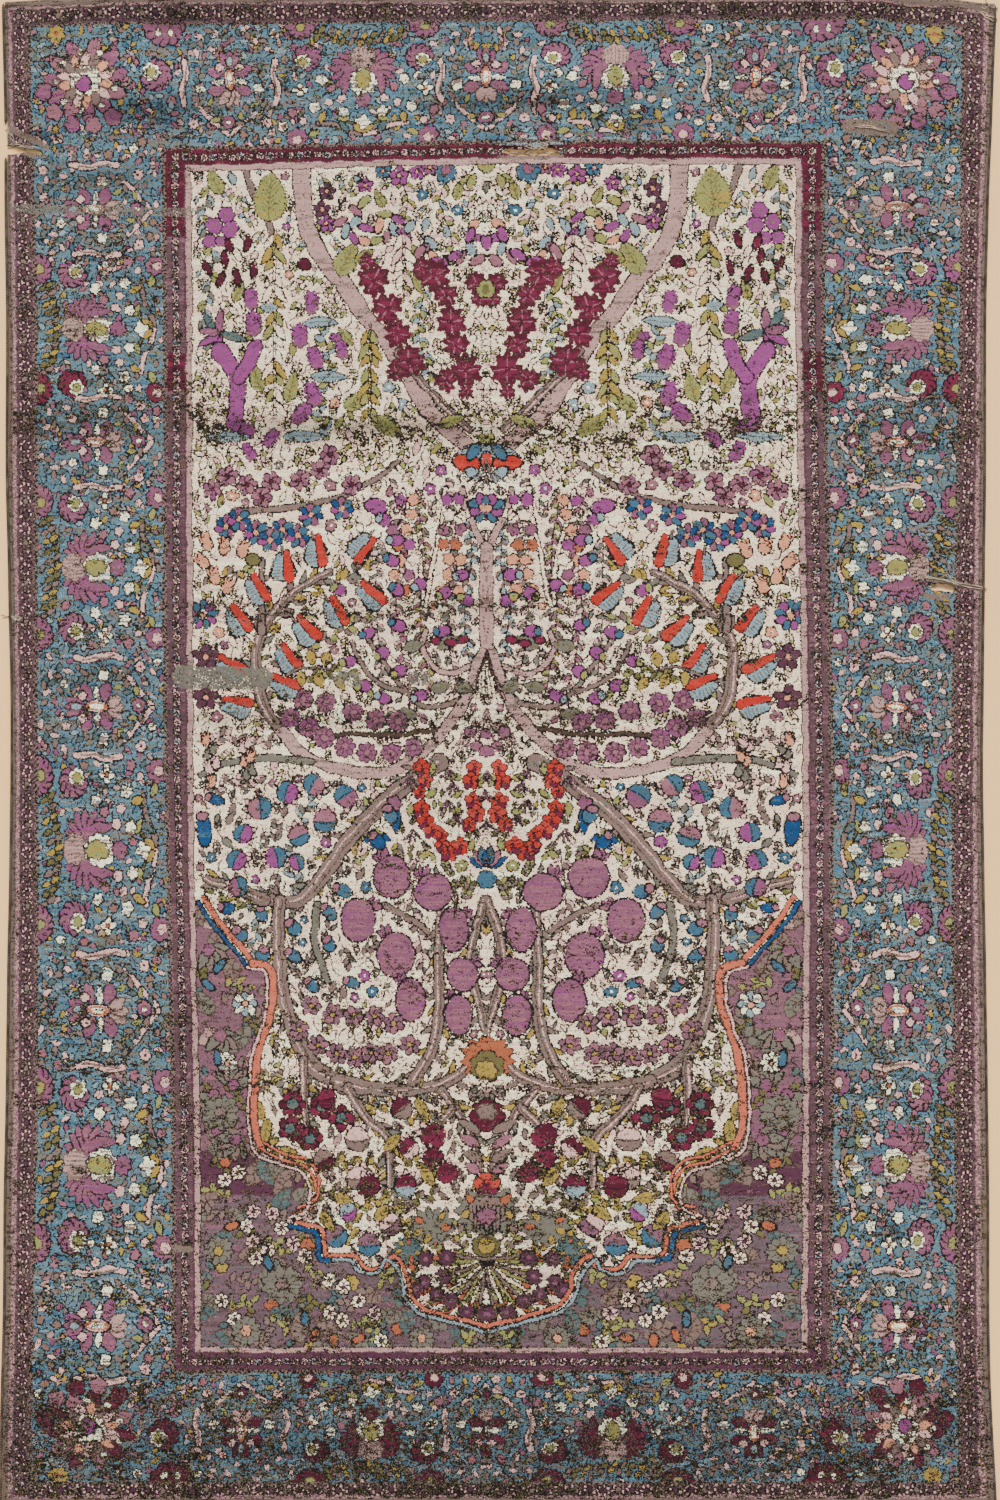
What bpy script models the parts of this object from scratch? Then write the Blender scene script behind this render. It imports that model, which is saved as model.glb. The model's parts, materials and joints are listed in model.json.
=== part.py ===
"""Worn silk prayer rug: one thin knotted sheet in low ripples, with an overcast cord along each side.

The rug lies on the floor at z = 0. X runs across it, Y runs along it with the arch of its
pattern pointing to -Y, and Z is up. The origin is under its middle. Lengths are in metres.
"""
import math

import bpy
import numpy as np

MM = 0.001

# The whole rug, over the side cords
RUG_LENGTH = 2037 * MM
RUG_WIDTH = 1347 * MM
PILE_THICKNESS = 4.0 * MM
FLAT_THICKNESS = 2.6 * MM
END_STRIP = 10.0 * MM
SIDE_STRIP = 9.0 * MM
PILE_STEP = 2.0 * MM
CORD_RADIUS = 2.2 * MM
CORD_GAP = 0.3 * MM

# How far each long edge bows in, by distance from the top end: along, left, right
SIDE_BOW = (
    (0, 2.5, 0.0),
    (80, 4.5, 3.5),
    (150, 6.3, 6.4),
    (290, 6.5, 11.8),
    (430, 8.8, 15.0),
    (640, 8.0, 15.0),
    (790, 11.5, 16.8),
    (950, 14.8, 18.3),
    (1030, 14.6, 19.5),
    (1180, 13.0, 17.5),
    (1320, 10.0, 14.9),
    (1480, 8.2, 12.6),
    (1640, 5.0, 10.6),
    (1780, 4.6, 11.0),
    (1880, 1.2, 8.7),
    (1960, 0.0, 4.8),
    (2037, 0.0, 0.0),
)
# How far the top end drops back, by distance from the left edge: across, drop
TOP_DROP = ((0, 9), (80, 5), (200, 0), (1150, 0), (1210, 2), (1290, 6), (1347, 12))
TOP_DROP_REACH = 100 * MM

# Low ripples and fold ridges, on the centre of each: x, y, length, width, height, tilt in degrees
RIPPLES = (
    (-457, 892, 400, 92, 8.0, -3),
    (70, 902, 480, 92, 7.0, 2),
    (545, 866, 210, 80, 6.5, 8),
    (-330, 1014, 640, 70, 6.0, 0),
    (440, 1012, 380, 64, 5.0, -2),
    (50, 782, 200, 56, 4.5, 0),
    (-560, 782, 130, 50, 4.0, 4),
    (-110, 430, 700, 50, 3.0, 1),
    (520, 350, 150, 46, 3.0, -3),
    (-70, 186, 300, 44, 2.4, 0),
    (-355, 32, 190, 44, 2.4, 0),
    (360, 32, 190, 44, 2.4, 0),
    (0, -42, 980, 64, 2.4, -1),
    (-330, -930, 520, 76, 4.5, 1),
    (390, -936, 440, 76, 4.5, -2),
)
EDGE_FADE = 60 * MM

# Rows of the sheet, from the top end down, closer where a ripple crosses: end of the band, step
ROW_BANDS = (
    (250, 12),
    (560, 62),
    (620, 12),
    (650, 30),
    (700, 12.5),
    (810, 55),
    (860, 12.5),
    (960, 50),
    (1020, 15),
    (1100, 16),
    (1880, 65),
    (2025, 12.1),
)
COLUMN_STEP = 40 * MM

# Worn tears right through the sheet, each around its own middle: across, up
NOTCH_PLACE = (-668, 808)
NOTCH = (
    (-20, 8), (13, 8), (21, 5.5), (29, 2.7), (44, 2),
    (51, 0), (44, -2.7), (27, -2), (19, -4), (-20, -6),
)
SLIT_PLACE = (44.5, 807)
SLIT = (
    (-38, -1), (-36, 5.5), (-27, 5), (-15, 4), (-4, 5), (4, 3), (12, 3.5),
    (20, 6), (29, 5), (38, 2.5), (37, -4), (18, -5.5), (-5, -6), (-26, -5),
)
HOLE_PLACE = (597, 220)
HOLE = (
    (-17, -1), (-13, 4), (-4, 5.5), (8, 4), (16, 1),
    (19, -4), (15, -8), (7, -7), (-1, -5), (-11, -5),
)
LEFT_CORD_BREAK = (845 * MM, 800 * MM)
CUTTER_DEPTH = 60 * MM

# Colours as red, green, blue
WORN_PILE = (0.33, 0.25, 0.25)
OVERCAST_THREAD = (0.17, 0.13, 0.11)


def clear_scene():
    for thing in list(bpy.data.objects):
        bpy.data.objects.remove(thing, do_unlink=True)


def new_collection(name):
    collection = bpy.data.collections.new(name)
    bpy.context.scene.collection.children.link(collection)
    return collection


def move_to(thing, collection):
    for old in list(thing.users_collection):
        old.objects.unlink(thing)
    collection.objects.link(thing)


def fabric(name, colour, roughness):
    material = bpy.data.materials.new(name)
    material.use_nodes = True
    shader = material.node_tree.nodes["Principled BSDF"]
    shader.inputs["Base Color"].default_value = (*colour, 1.0)
    shader.inputs["Roughness"].default_value = roughness
    shader.inputs["Metallic"].default_value = 0.0
    return material


def smooth(share):
    """Ease from 0 to 1 as the share does."""
    share = min(max(share, 0.0), 1.0)
    return share * share * (3 - 2 * share)


def eased(table, place, column):
    """Value of a table's column at a place given by its first column, eased between rows."""
    for before, after in zip(table, table[1:]):
        if place <= after[0]:
            share = smooth((place - before[0]) / (after[0] - before[0]))
            return before[column] + share * (after[column] - before[column])
    return table[-1][column]


def side_edges(y):
    """Outer x of the left and right edge, over the cords, at a distance y from the middle."""
    along = (RUG_LENGTH / 2 - y) / MM
    left = -RUG_WIDTH / 2 + eased(SIDE_BOW, along, 1) * MM
    right = RUG_WIDTH / 2 - eased(SIDE_BOW, along, 2) * MM
    return left, right


def body_edges(y):
    """Outer x of the sheet itself, inside the cords."""
    left, right = side_edges(y)
    inset = 2 * CORD_RADIUS + CORD_GAP
    return left + inset, right - inset


def top_end(x):
    across = (x + RUG_WIDTH / 2) / MM
    return RUG_LENGTH / 2 - eased(TOP_DROP, across, 1) * MM


def lift(x, y):
    """Height of the sheet's underside over the floor."""
    height = 0.0
    for ridge_x, ridge_y, length, width, top, tilt in RIPPLES:
        dx = x / MM - ridge_x
        dy = y / MM - ridge_y
        turn = math.radians(tilt)
        along = (dx * math.cos(turn) + dy * math.sin(turn)) / (length / 2)
        across = (dy * math.cos(turn) - dx * math.sin(turn)) / (width / 2)
        if abs(along) < 1 and abs(across) < 1:
            ridge = smooth(1 - abs(across)) * smooth(1.6 * (1 - abs(along)))
            height += top * MM * ridge
    left, right = body_edges(y)
    side = min(x - left, right - x)
    return height * smooth(side / EDGE_FADE)


def row_places():
    """Distances of the sheet's rows from the top end."""
    places = [0.0, END_STRIP, END_STRIP + PILE_STEP]
    for band_end, step in ROW_BANDS:
        start = places[-1]
        count = max(1, round((band_end * MM - start) / (step * MM)))
        places += [start + (band_end * MM - start) * n / count for n in range(1, count + 1)]
    return places + [RUG_LENGTH - END_STRIP, RUG_LENGTH]


def column_shares():
    """Places of the sheet's columns, as shares of its width."""
    strip = SIDE_STRIP / RUG_WIDTH
    step = PILE_STEP / RUG_WIDTH
    inner = round((RUG_WIDTH - 2 * SIDE_STRIP - 2 * PILE_STEP) / COLUMN_STEP)
    first = strip + step
    middle = [first + (1 - 2 * first) * n / inner for n in range(inner + 1)]
    return [0.0, strip, *middle, 1 - strip, 1.0]


def make_sheet(collection, material):
    """The knotted sheet with its plain woven ends and side strips, as one solid."""
    rows = row_places()
    columns = column_shares()
    bpy.ops.mesh.primitive_grid_add(x_subdivisions=len(columns) - 1, y_subdivisions=len(rows) - 1, size=2)
    sheet = bpy.context.active_object
    sheet.name = "rug"
    move_to(sheet, collection)
    pile = sheet.vertex_groups.new(name="pile")
    for vertex in sheet.data.vertices:
        column = round((vertex.co.x + 1) / 2 * (len(columns) - 1))
        row = round((1 - vertex.co.y) / 2 * (len(rows) - 1))
        y = RUG_LENGTH / 2 - rows[row]
        drop = RUG_LENGTH / 2 - top_end((columns[column] - 0.5) * RUG_WIDTH)
        y -= drop * smooth(1 - rows[row] / TOP_DROP_REACH)
        left, right = body_edges(y)
        x = left + (right - left) * columns[column]
        vertex.co = (x, y, lift(x, y))
        inside = 2 <= column <= len(columns) - 3 and 2 <= row <= len(rows) - 3
        pile.add([vertex.index], 1.0 if inside else 0.0, "REPLACE")
    solid = sheet.modifiers.new("thickness", "SOLIDIFY")
    solid.thickness = PILE_THICKNESS
    solid.offset = 1.0
    solid.vertex_group = pile.name
    solid.thickness_vertex_group = FLAT_THICKNESS / PILE_THICKNESS
    sheet.data.materials.append(material)
    return sheet


def make_cutter(name, place, outline, collection):
    """A prism through the sheet, from the outline of one tear."""
    curve = bpy.data.curves.new(name, "CURVE")
    curve.dimensions = "2D"
    curve.fill_mode = "BOTH"
    curve.extrude = CUTTER_DEPTH / 2
    spline = curve.splines.new("POLY")
    spline.points.add(len(outline) - 1)
    for point, (across, up) in zip(spline.points, outline):
        point.co = ((place[0] + across) * MM, (place[1] + up) * MM, 0.0, 1.0)
    spline.use_cyclic_u = True
    cutter = bpy.data.objects.new(name, curve)
    bpy.context.scene.collection.objects.link(cutter)
    bpy.ops.object.select_all(action="DESELECT")
    cutter.select_set(True)
    bpy.context.view_layer.objects.active = cutter
    bpy.ops.object.convert(target="MESH")
    bpy.ops.object.mode_set(mode="EDIT")
    bpy.ops.mesh.select_all(action="SELECT")
    bpy.ops.mesh.remove_doubles(threshold=0.00001)
    bpy.ops.mesh.normals_make_consistent(inside=False)
    bpy.ops.object.mode_set(mode="OBJECT")
    cutter = bpy.context.active_object
    move_to(cutter, collection)
    cutter.hide_render = True
    cutter.display_type = "WIRE"
    return cutter


def cut(sheet, cutter):
    tear = sheet.modifiers.new(cutter.name, "BOOLEAN")
    tear.operation = "DIFFERENCE"
    tear.solver = "EXACT"
    tear.object = cutter


def make_cord(name, side, start, end, collection, material):
    """An overcast cord on the floor beside one long edge, from y = start down to y = end."""
    rows = [RUG_LENGTH / 2 - row for row in row_places()]
    inside = [y for y in rows if end + 2 * MM < y < start - 2 * MM]
    curve = bpy.data.curves.new(name, "CURVE")
    curve.dimensions = "3D"
    curve.bevel_depth = CORD_RADIUS
    curve.bevel_resolution = 2
    curve.use_fill_caps = True
    spline = curve.splines.new("POLY")
    route = [start, *inside, end]
    spline.points.add(len(route) - 1)
    for point, y in zip(spline.points, route):
        left, right = side_edges(y)
        x = left + CORD_RADIUS if side < 0 else right - CORD_RADIUS
        point.co = (x, y, CORD_RADIUS, 1.0)
    cord = bpy.data.objects.new(name, curve)
    cord.data.materials.append(material)
    collection.objects.link(cord)
    return cord


def main():
    clear_scene()
    rug = new_collection("persian_rug")
    cutters = new_collection("cutters")
    pile = fabric("worn_silk_pile", WORN_PILE, 0.75)
    thread = fabric("overcast_thread", OVERCAST_THREAD, 0.85)

    sheet = make_sheet(rug, pile)
    tears = (("notch", NOTCH_PLACE, NOTCH), ("slit", SLIT_PLACE, SLIT), ("hole", HOLE_PLACE, HOLE))
    for name, place, outline in tears:
        cut(sheet, make_cutter(name + "_cutter", place, outline, cutters))

    top_left = top_end(-RUG_WIDTH / 2) - 2 * MM
    top_right = top_end(RUG_WIDTH / 2) - 2 * MM
    bottom = -RUG_LENGTH / 2 + 1 * MM
    make_cord("edge_cord_left_upper", -1, top_left, LEFT_CORD_BREAK[0], rug, thread)
    make_cord("edge_cord_left_lower", -1, LEFT_CORD_BREAK[1], bottom, rug, thread)
    make_cord("edge_cord_right", 1, top_right, bottom, rug, thread)


main()
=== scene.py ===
"""A worn silk prayer rug, laid flat on a pale floor and seen from straight above.

The pattern is drawn knot by knot as a weaver's cartoon: half of it, in squares of 1.35 mm, and
then turned over for the other half. Each face of the woven sheet carries the dyes of its knots.
"""
from math import atan2, cos, hypot, nan, pi, radians, sin, sqrt

import bpy
import numpy as np
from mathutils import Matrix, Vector
from mathutils.bvhtree import BVHTree
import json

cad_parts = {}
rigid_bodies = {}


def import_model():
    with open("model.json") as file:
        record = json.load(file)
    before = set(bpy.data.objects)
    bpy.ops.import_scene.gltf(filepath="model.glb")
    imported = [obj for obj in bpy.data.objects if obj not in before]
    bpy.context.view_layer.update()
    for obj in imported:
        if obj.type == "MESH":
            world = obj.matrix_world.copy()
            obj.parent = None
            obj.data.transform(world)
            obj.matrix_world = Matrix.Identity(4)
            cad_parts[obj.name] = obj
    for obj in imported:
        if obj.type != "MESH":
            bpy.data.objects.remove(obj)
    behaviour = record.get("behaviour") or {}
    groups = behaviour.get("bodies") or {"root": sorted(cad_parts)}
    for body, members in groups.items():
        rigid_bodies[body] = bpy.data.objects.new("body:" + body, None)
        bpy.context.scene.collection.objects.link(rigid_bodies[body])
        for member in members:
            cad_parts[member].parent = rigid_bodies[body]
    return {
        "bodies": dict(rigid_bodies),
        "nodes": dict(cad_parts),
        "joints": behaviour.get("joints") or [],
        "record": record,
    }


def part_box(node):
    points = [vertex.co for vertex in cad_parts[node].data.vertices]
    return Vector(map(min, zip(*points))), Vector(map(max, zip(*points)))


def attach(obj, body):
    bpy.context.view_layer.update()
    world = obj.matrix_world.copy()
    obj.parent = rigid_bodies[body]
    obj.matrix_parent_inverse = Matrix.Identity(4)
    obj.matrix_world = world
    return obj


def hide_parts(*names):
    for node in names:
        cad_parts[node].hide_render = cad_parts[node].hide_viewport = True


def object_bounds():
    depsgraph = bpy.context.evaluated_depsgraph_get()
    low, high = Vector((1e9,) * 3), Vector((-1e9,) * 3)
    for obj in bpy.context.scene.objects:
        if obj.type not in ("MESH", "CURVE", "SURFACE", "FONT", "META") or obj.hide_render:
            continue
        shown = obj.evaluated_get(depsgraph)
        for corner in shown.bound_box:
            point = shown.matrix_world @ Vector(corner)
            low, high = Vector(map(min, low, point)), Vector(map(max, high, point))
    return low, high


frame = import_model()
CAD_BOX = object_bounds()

bl_info = {
    "name": "Worn Silk Rug",
    "version": (1, 0, 0),
    "blender": (4, 5, 0),
    "location": "View3D > Sidebar > Rug",
    "description": "Lays a worn, hand-knotted silk prayer rug with its overcast sides and torn places",
    "category": "Object",
}

MM = 0.001

# Dyes as red, green and blue of the finished silk, 0 to 255
DYES = {
    "warp": (146, 130, 118), "ink": (34, 26, 25), "ivory": (222, 214, 204), "cream": (212, 204, 193),
    "pale_pink": (186, 165, 161), "sky": (114, 149, 161), "blue": (80, 124, 147), "deep_blue": (38, 88, 140),
    "ash": (126, 106, 114), "teal": (98, 122, 124), "ice": (160, 172, 176), "orchid": (152, 102, 130),
    "violet": (160, 90, 148), "plum": (104, 62, 82), "wine": (98, 34, 54), "crimson": (136, 48, 78),
    "dusty": (150, 130, 122), "rose": (166, 124, 138), "coral": (186, 90, 80), "flame": (182, 70, 60),
    "peach": (200, 168, 146), "sage": (164, 164, 112), "olive": (130, 122, 78), "gold": (176, 160, 92),
    "grey_green": (140, 136, 124), "brown": (92, 72, 62), "guard": (112, 84, 90), "coral_band": (192, 134, 108),
    "mauve": (146, 110, 124), "blush": (204, 186, 182), "umber": (20, 16, 15), "rust": (178, 120, 88),
}
DYE = {name: number for number, name in enumerate(DYES)}
# The cartoon of half the rug: x from the left edge of the photographed rug to its middle line, y down
LEFT, MIDDLE = 6.0, 486.0
TOP, BOTTOM = -4.5, 1504.5
HALF_KNOTS = 540
KNOT_ROWS = 1698
PER_X = HALF_KNOTS / (MIDDLE - LEFT)
PER_Y = KNOT_ROWS / (BOTTOM - TOP)

# How much thicker every outline is than its first drawing
OUTLINE = 1.65
# Share of an outline's knots that are really dark
OUTLINE_KEPT = 0.94

# Turns as the cartoon's own rounded angles; y runs down, so a quarter turn points down
QUARTER, FULL = 1.57, 6.28

# Lines of the frame: distance in from the left edge, from the top and from the bottom
PILE_EDGE = (16.0, 7.0, 1495.0)
BORDER_OUT = (38.0, 27.0, 1481.0)
BORDER_IN = (163.0, 142.0, 1373.0)
BAND_IN = (186.0, 159.0, 1353.0)
FIELD = (194.0, 166.0, 1346.0)


def around(x, y, reach, angle, down=None):
    """The place at an angle from another, on a circle or, with down, on an oval."""
    return x + reach * cos(angle), y + (down or reach) * sin(angle)


def oval(a, b, turn=0.0):
    c, s = cos(turn), sin(turn)
    return (
        lambda x, y: (np.hypot((x * c + y * s) / a, (y * c - x * s) / b) - 1) * min(a, b)
    ), max(a, b)


def petals(radius, count, depth, turn=0.0, squash=1.0):
    """A round outline with scallops, such as a rosette."""

    def inside(x, y):
        y = y / squash
        angle = np.arctan2(y, x) - turn
        edge = radius * (1 - depth * (1 - np.abs(np.cos(count * angle / 2))))
        return np.hypot(x, y) - edge

    return inside, radius * max(1, squash)


def spikes(radius, count, depth, turn, squash=1.0):
    """A round outline with points."""

    def inside(x, y):
        y = y / squash
        angle = (np.arctan2(y, x) - turn) * count / (2 * pi)
        wave = np.abs((angle % 1.0) * 2 - 1)
        return np.hypot(x, y) - radius * (1 - depth * (1 - wave))

    return inside, radius * max(1, squash)


def leaf(length, width, turn, belly=0.85, teeth=0.0):
    """A pointed leaf from its base at the place, towards the turn, with notches as deep as teeth says."""
    c, s = cos(turn), sin(turn)

    def inside(x, y):
        along, across = x * c + y * s, np.abs(y * c - x * s)
        share = np.clip(along / length, 0.0, 1.0)
        half = width / 2 * np.sin(pi * share**belly) ** 0.8
        half = half * (1 - teeth * ((along / 3.6) % 1.0))
        return np.maximum(across - half, np.maximum(-along, along - length))

    return inside, length


def box(half_x, half_y, turn=0.0):
    c, s = cos(turn), sin(turn)
    return (
        lambda x, y: np.maximum(np.abs(x * c + y * s) - half_x, np.abs(y * c - x * s) - half_y)
    ), hypot(half_x, half_y)


def part(shape, turn):
    """The part of a shape on the near side of a line across its middle, square to the turn."""
    inside, reach = shape
    c, s = cos(turn), sin(turn)
    return (lambda x, y: np.maximum(inside(x, y), x * c + y * s)), reach


# Distance between the points of a drawn line
LINE_STEP = 0.7


def curve_points(points):
    """Points close together on a smooth curve through the given ones."""
    p = np.array(points, float)
    p = np.vstack((2 * p[0] - p[1], p, 2 * p[-1] - p[-2]))
    out = []
    for a, b, c, d in zip(p, p[1:], p[2:], p[3:]):
        t = np.linspace(0, 1, max(2, int(np.hypot(*(c - b)) / LINE_STEP)), endpoint=False)[:, None]
        out.append(0.5 * (2 * b + (c - a) * t + (2 * a - 5 * b + 4 * c - d) * t**2 + (3 * b - a - 3 * c + d) * t**3))
    return np.vstack((*out, p[-2][None]))


class Cartoon:
    """The knots of half the rug, each with the number of its dye."""

    def __init__(self):
        self.knots = np.full((KNOT_ROWS, HALF_KNOTS), DYE["cream"], np.uint8)
        self.open = np.ones((KNOT_ROWS, HALF_KNOTS), bool)
        self.kept = np.random.RandomState(3).rand(KNOT_ROWS, HALF_KNOTS) < OUTLINE_KEPT
        self.frame = (0.0, 0.0, 1.0, 0.0, 0.0, 1.0)
        self.xs = LEFT + (np.arange(HALF_KNOTS) + 0.5) / PER_X
        self.ys = TOP + (np.arange(KNOT_ROWS) + 0.5) / PER_Y

    def within(self, lines_out, lines_in=None):
        """Knots inside one line of the frame and, if given, outside another."""
        x, y = self.xs[None, :], self.ys[:, None]
        inside = (x >= lines_out[0]) & (y >= lines_out[1]) & (y < lines_out[2])
        if lines_in:
            inside &= ~((x >= lines_in[0]) & (y >= lines_in[1]) & (y < lines_in[2]))
        return inside

    def window(self, x, y, reach):
        ox, oy, ax, ay, bx, by = self.frame
        cx, cy = ox + x * ax + y * bx, oy + x * ay + y * by
        rx, ry = reach * hypot(ax, bx) + 2, reach * hypot(ay, by) + 2
        c0, c1 = int((cx - rx - LEFT) * PER_X), int((cx + rx - LEFT) * PER_X) + 2
        r0, r1 = int((cy - ry - TOP) * PER_Y), int((cy + ry - TOP) * PER_Y) + 2
        rows, columns = slice(max(r0, 0), max(r1, 0)), slice(max(c0, 0), max(c1, 0))
        dx, dy = self.xs[None, columns] - cx, self.ys[rows, None] - cy
        det = ax * by - ay * bx
        return rows, columns, (dx * by - dy * bx) / det, (dy * ax - dx * ay) / det

    def paint(self, x, y, shape, dye, edge=0.9, rim="ink"):
        """Ties a shape at a place, with a rim as wide as the edge round it."""
        inside, reach = shape
        edge *= OUTLINE
        rows, columns, dx, dy = self.window(x, y, reach + edge)
        depth = inside(dx, dy)
        knots, free = self.knots[rows, columns], self.open[rows, columns]
        if edge:
            knots[(depth < edge) & free & self.kept[rows, columns]] = DYE[rim]
        knots[(depth < 0) & free] = DYE[dye]

    def stem(self, points, width, dye, end_width=None, edge=0.85, rim="ink"):
        route = curve_points(points)
        widths = np.linspace(width, end_width or width, len(route))
        passes = [(edge * OUTLINE, rim)] if edge else []
        for extra, name in [*passes, (0.0, dye)]:
            for (x, y), w in zip(route, widths):
                rows, columns, dx, dy = self.window(x, y, w / 2 + extra)
                near = (np.hypot(dx, dy) < w / 2 + extra) & self.open[rows, columns]
                if name == "ink":
                    near &= self.kept[rows, columns]
                self.knots[rows, columns][near] = DYE[name]

    def line(self, points, dye, width):
        self.stem(points, width * OUTLINE, dye, edge=0)

    def bare(self, x, y, reach, grounds):
        """True where nothing is drawn yet round a place."""
        rows, columns, dx, dy = self.window(x, y, reach)
        if dx.size == 0:
            return False
        knots = self.knots[rows, columns]
        near = np.hypot(dx, dy) < reach
        return self.open[rows, columns][near].all() and np.isin(knots[near], grounds).mean() > 0.93


# Single flowers, fruit and leaves


def steps(count, step, first=0.0):
    return [first + n * step for n in range(count)]


def wreath(c, x, y, reach, angles, shape, dyes, edge=0.9, rim="ink", down=None):
    """A shape for each angle, round a place, in the dyes in turn."""
    for n, angle in enumerate(angles):
        c.paint(*around(x, y, reach, angle, down), shape(angle), dyes[n % len(dyes)], edge, rim)


def floret(c, x, y, r, dye, heart, count=6, turn=0.3):
    c.paint(x, y, petals(r, count, 0.28, turn), dye)
    c.paint(x, y, oval(r * 0.28, r * 0.28), heart, 0)


def flower(c, x, y, r, dyes, heart, count, turn=-QUARTER):
    """Separate round petals round a heart."""
    size = r * min(0.42, 2.5 / count)
    angles = [turn + 2 * pi * n / count for n in range(count)]
    wreath(c, x, y, r - size, angles, lambda a: oval(size * 1.15, size * 0.86, a), dyes, 0.7)
    c.paint(x, y, oval(r * 0.22, r * 0.22), heart, 0.6)


def rosette(c, x, y, r):
    """A scalloped round flower with dark spokes and a dotted middle."""
    c.paint(x, y, petals(r, 8, 0.2), "orchid")
    for angle in steps(8, 0.785, 0.4):
        c.line((around(x, y, r * 0.4, angle), around(x, y, r * 0.85, angle)), "plum", 0.7)
    c.paint(x, y, oval(r * 0.3, r * 0.3), "rose", 0.7, "plum")


def pomegranate(c, x, y, a, b):
    """A streaked fruit with its small crown."""
    lean = 0.5 if x % 3 else -0.9
    at = (x - sin(lean) * a, y - cos(lean) * b)
    for n in (-0.7, 0.0, 0.7):
        c.paint(*at, leaf(a * 0.62, a * 0.36, -QUARTER - lean + n), "orchid")
    c.paint(x, y, oval(a, b), "orchid", 1.1)
    for n in (-5, -4, -2, -1, 1, 2, 4, 5):
        wide = a * 0.86 * sqrt(1 - (n / 6.6) ** 2)
        shift = a * 0.4 * sin(n * 5.1 + x)
        level = y + n * b * 0.14
        c.stem(((x - wide * 0.8 + shift * 0.4, level), (x + wide * 0.7 + shift * 0.3, level)), 1.3, "rose", edge=0)


def bell(c, x, y, length, width, turn):
    """A long flower of two colours: a wide pale body and, along one side, a tongue with a round mouth."""
    dx, dy = cos(turn), sin(turn)
    for edge in (0.9, 0):
        for share, size in ((-0.28, 0.6), (-0.12, 0.76), (0.04, 0.9), (0.2, 1.0), (0.32, 0.88)):
            at = (x + dx * length * share, y + dy * length * share)
            c.paint(*at, oval(length * 0.17, width * size / 2, turn), "ice", edge)
    for n in range(6):
        share = -0.22 + 0.11 * n
        at = (x + dx * length * share - dy * width * 0.1, y + dy * length * share + dx * width * 0.1)
        c.line((at, (at[0] - dy * width * 0.32, at[1] + dx * width * 0.32)), ("sky", "grey_green")[n % 2], 0.9)
    side = (x + dy * width * 0.24, y - dx * width * 0.24)
    start = (side[0] - dx * length * 0.42, side[1] - dy * length * 0.42)
    end = (side[0] + dx * length * 0.4, side[1] + dy * length * 0.4)
    c.stem((start, side, end), width * 0.26, "flame", end_width=width * 0.44, edge=0.6)
    stalk = ((x - dx * length * 0.4, y - dy * length * 0.4), (x - dx * length * 0.62, y - dy * length * 0.62))
    c.stem(stalk, 1.4, "dusty", edge=0.6)


def berry(c, x, y, r, turn, one, other):
    """A round fruit of two colours with a pale cap."""
    whole = petals(r, 10, 0.08)
    angles = [turn + pi + 0.55 * n for n in (-1, 0, 1)]
    wreath(c, x, y, r * 0.9, angles, lambda a: leaf(r * 0.55, r * 0.4, a), ("blush",))
    c.paint(x, y, whole, one)
    c.paint(x, y, part(whole, turn), other, 0)
    dx, dy = cos(turn) * r, sin(turn) * r
    c.line(((x - dy, y + dx), (x + dx * 0.18, y + dy * 0.18), (x + dy, y - dx)), "ink", 0.7)


def tulip(c, x, y, size, turn, dye="peach"):
    c.paint(x, y, oval(size, size * 0.72, turn), dye)
    wreath(c, x, y, 0, [turn + n for n in (-0.5, 0.0, 0.5)], lambda a: leaf(size * 1.5, size * 0.7, a), (dye,))
    c.paint(x, y, oval(size * 0.8, size * 0.55, turn), dye, 0)


def bud(c, x, y, a, b, turn, dye, cap):
    c.paint(x, y, oval(a, b, turn), dye)
    c.paint(*around(x, y, -a * 0.9, turn), oval(b * 0.55, b * 0.7, turn), cap)


def cluster(c, x, y, r, turn):
    """A ragged vine leaf in two dark tones, with pale veins."""
    tips, folds, veins = steps(3, 2.1, turn), steps(5, 1.27, turn + 0.5), steps(4, QUARTER, turn)
    wreath(c, x, y, r * 0.34, tips, lambda a: spikes(r * 0.88, 6, 0.38, a), ("wine",), 0.4, "brown", r * 0.4)
    wreath(c, x, y, r * 0.42, folds, lambda a: oval(r * 0.34, r * 0.16, 0.2), ("crimson",), 0)
    wreath(c, x, y, r * 0.5, veins, lambda a: oval(r * 0.34, r * 0.05, a), ("rose",), 0)


def blossom(c, x, y, r, dye="coral"):
    """Five loose petals, one of them dark, round a small heart."""
    angles, dyes = [-QUARTER + 2 * pi * n / 5 for n in range(5)], (dye, dye, dye, "crimson", dye)
    wreath(c, x, y, r * 0.56, angles, lambda a: oval(r * 0.54, r * 0.46, a), dyes, 0.55)
    c.paint(x, y, oval(r * 0.2, r * 0.2), "wine", 0)


def big_leaf(c, x, y, length, width, turn, dye="sage"):
    """A long notched leaf with its veins."""
    c.paint(x, y, leaf(length, width, turn, 0.75, 0.22), dye)
    c.line(((x, y), around(x, y, length * 0.9, turn)), "olive", 0.7)
    for n in np.arange(0.12, 0.85, 5.5 / length):
        base = around(x, y, length * n, turn)
        for side in (-1, 1):
            c.line((base, around(*base, width * 0.36 * (1 - abs(n - 0.4)), turn + side * 0.7)), "olive", 0.55)


def twiglet(c, x, y, size, turn, dyes, random):
    """A short curved twig with small outlined leaves on both sides."""
    bend = random.uniform(-0.5, 0.5)
    route = [(x, y)]
    for n in range(4):
        angle = turn + bend * n / 3
        route.append(around(*route[-1], size * 0.46, angle))
    c.line(route, "ink", 0.75)
    for n, at in enumerate(route[1:]):
        for side in (-1, 1):
            angle = turn + bend * n / 3 + side * 0.75
            c.paint(*at, leaf(size * 0.72, size * 0.34, angle), dyes[(n + side) % len(dyes)], 0.7)


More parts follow.
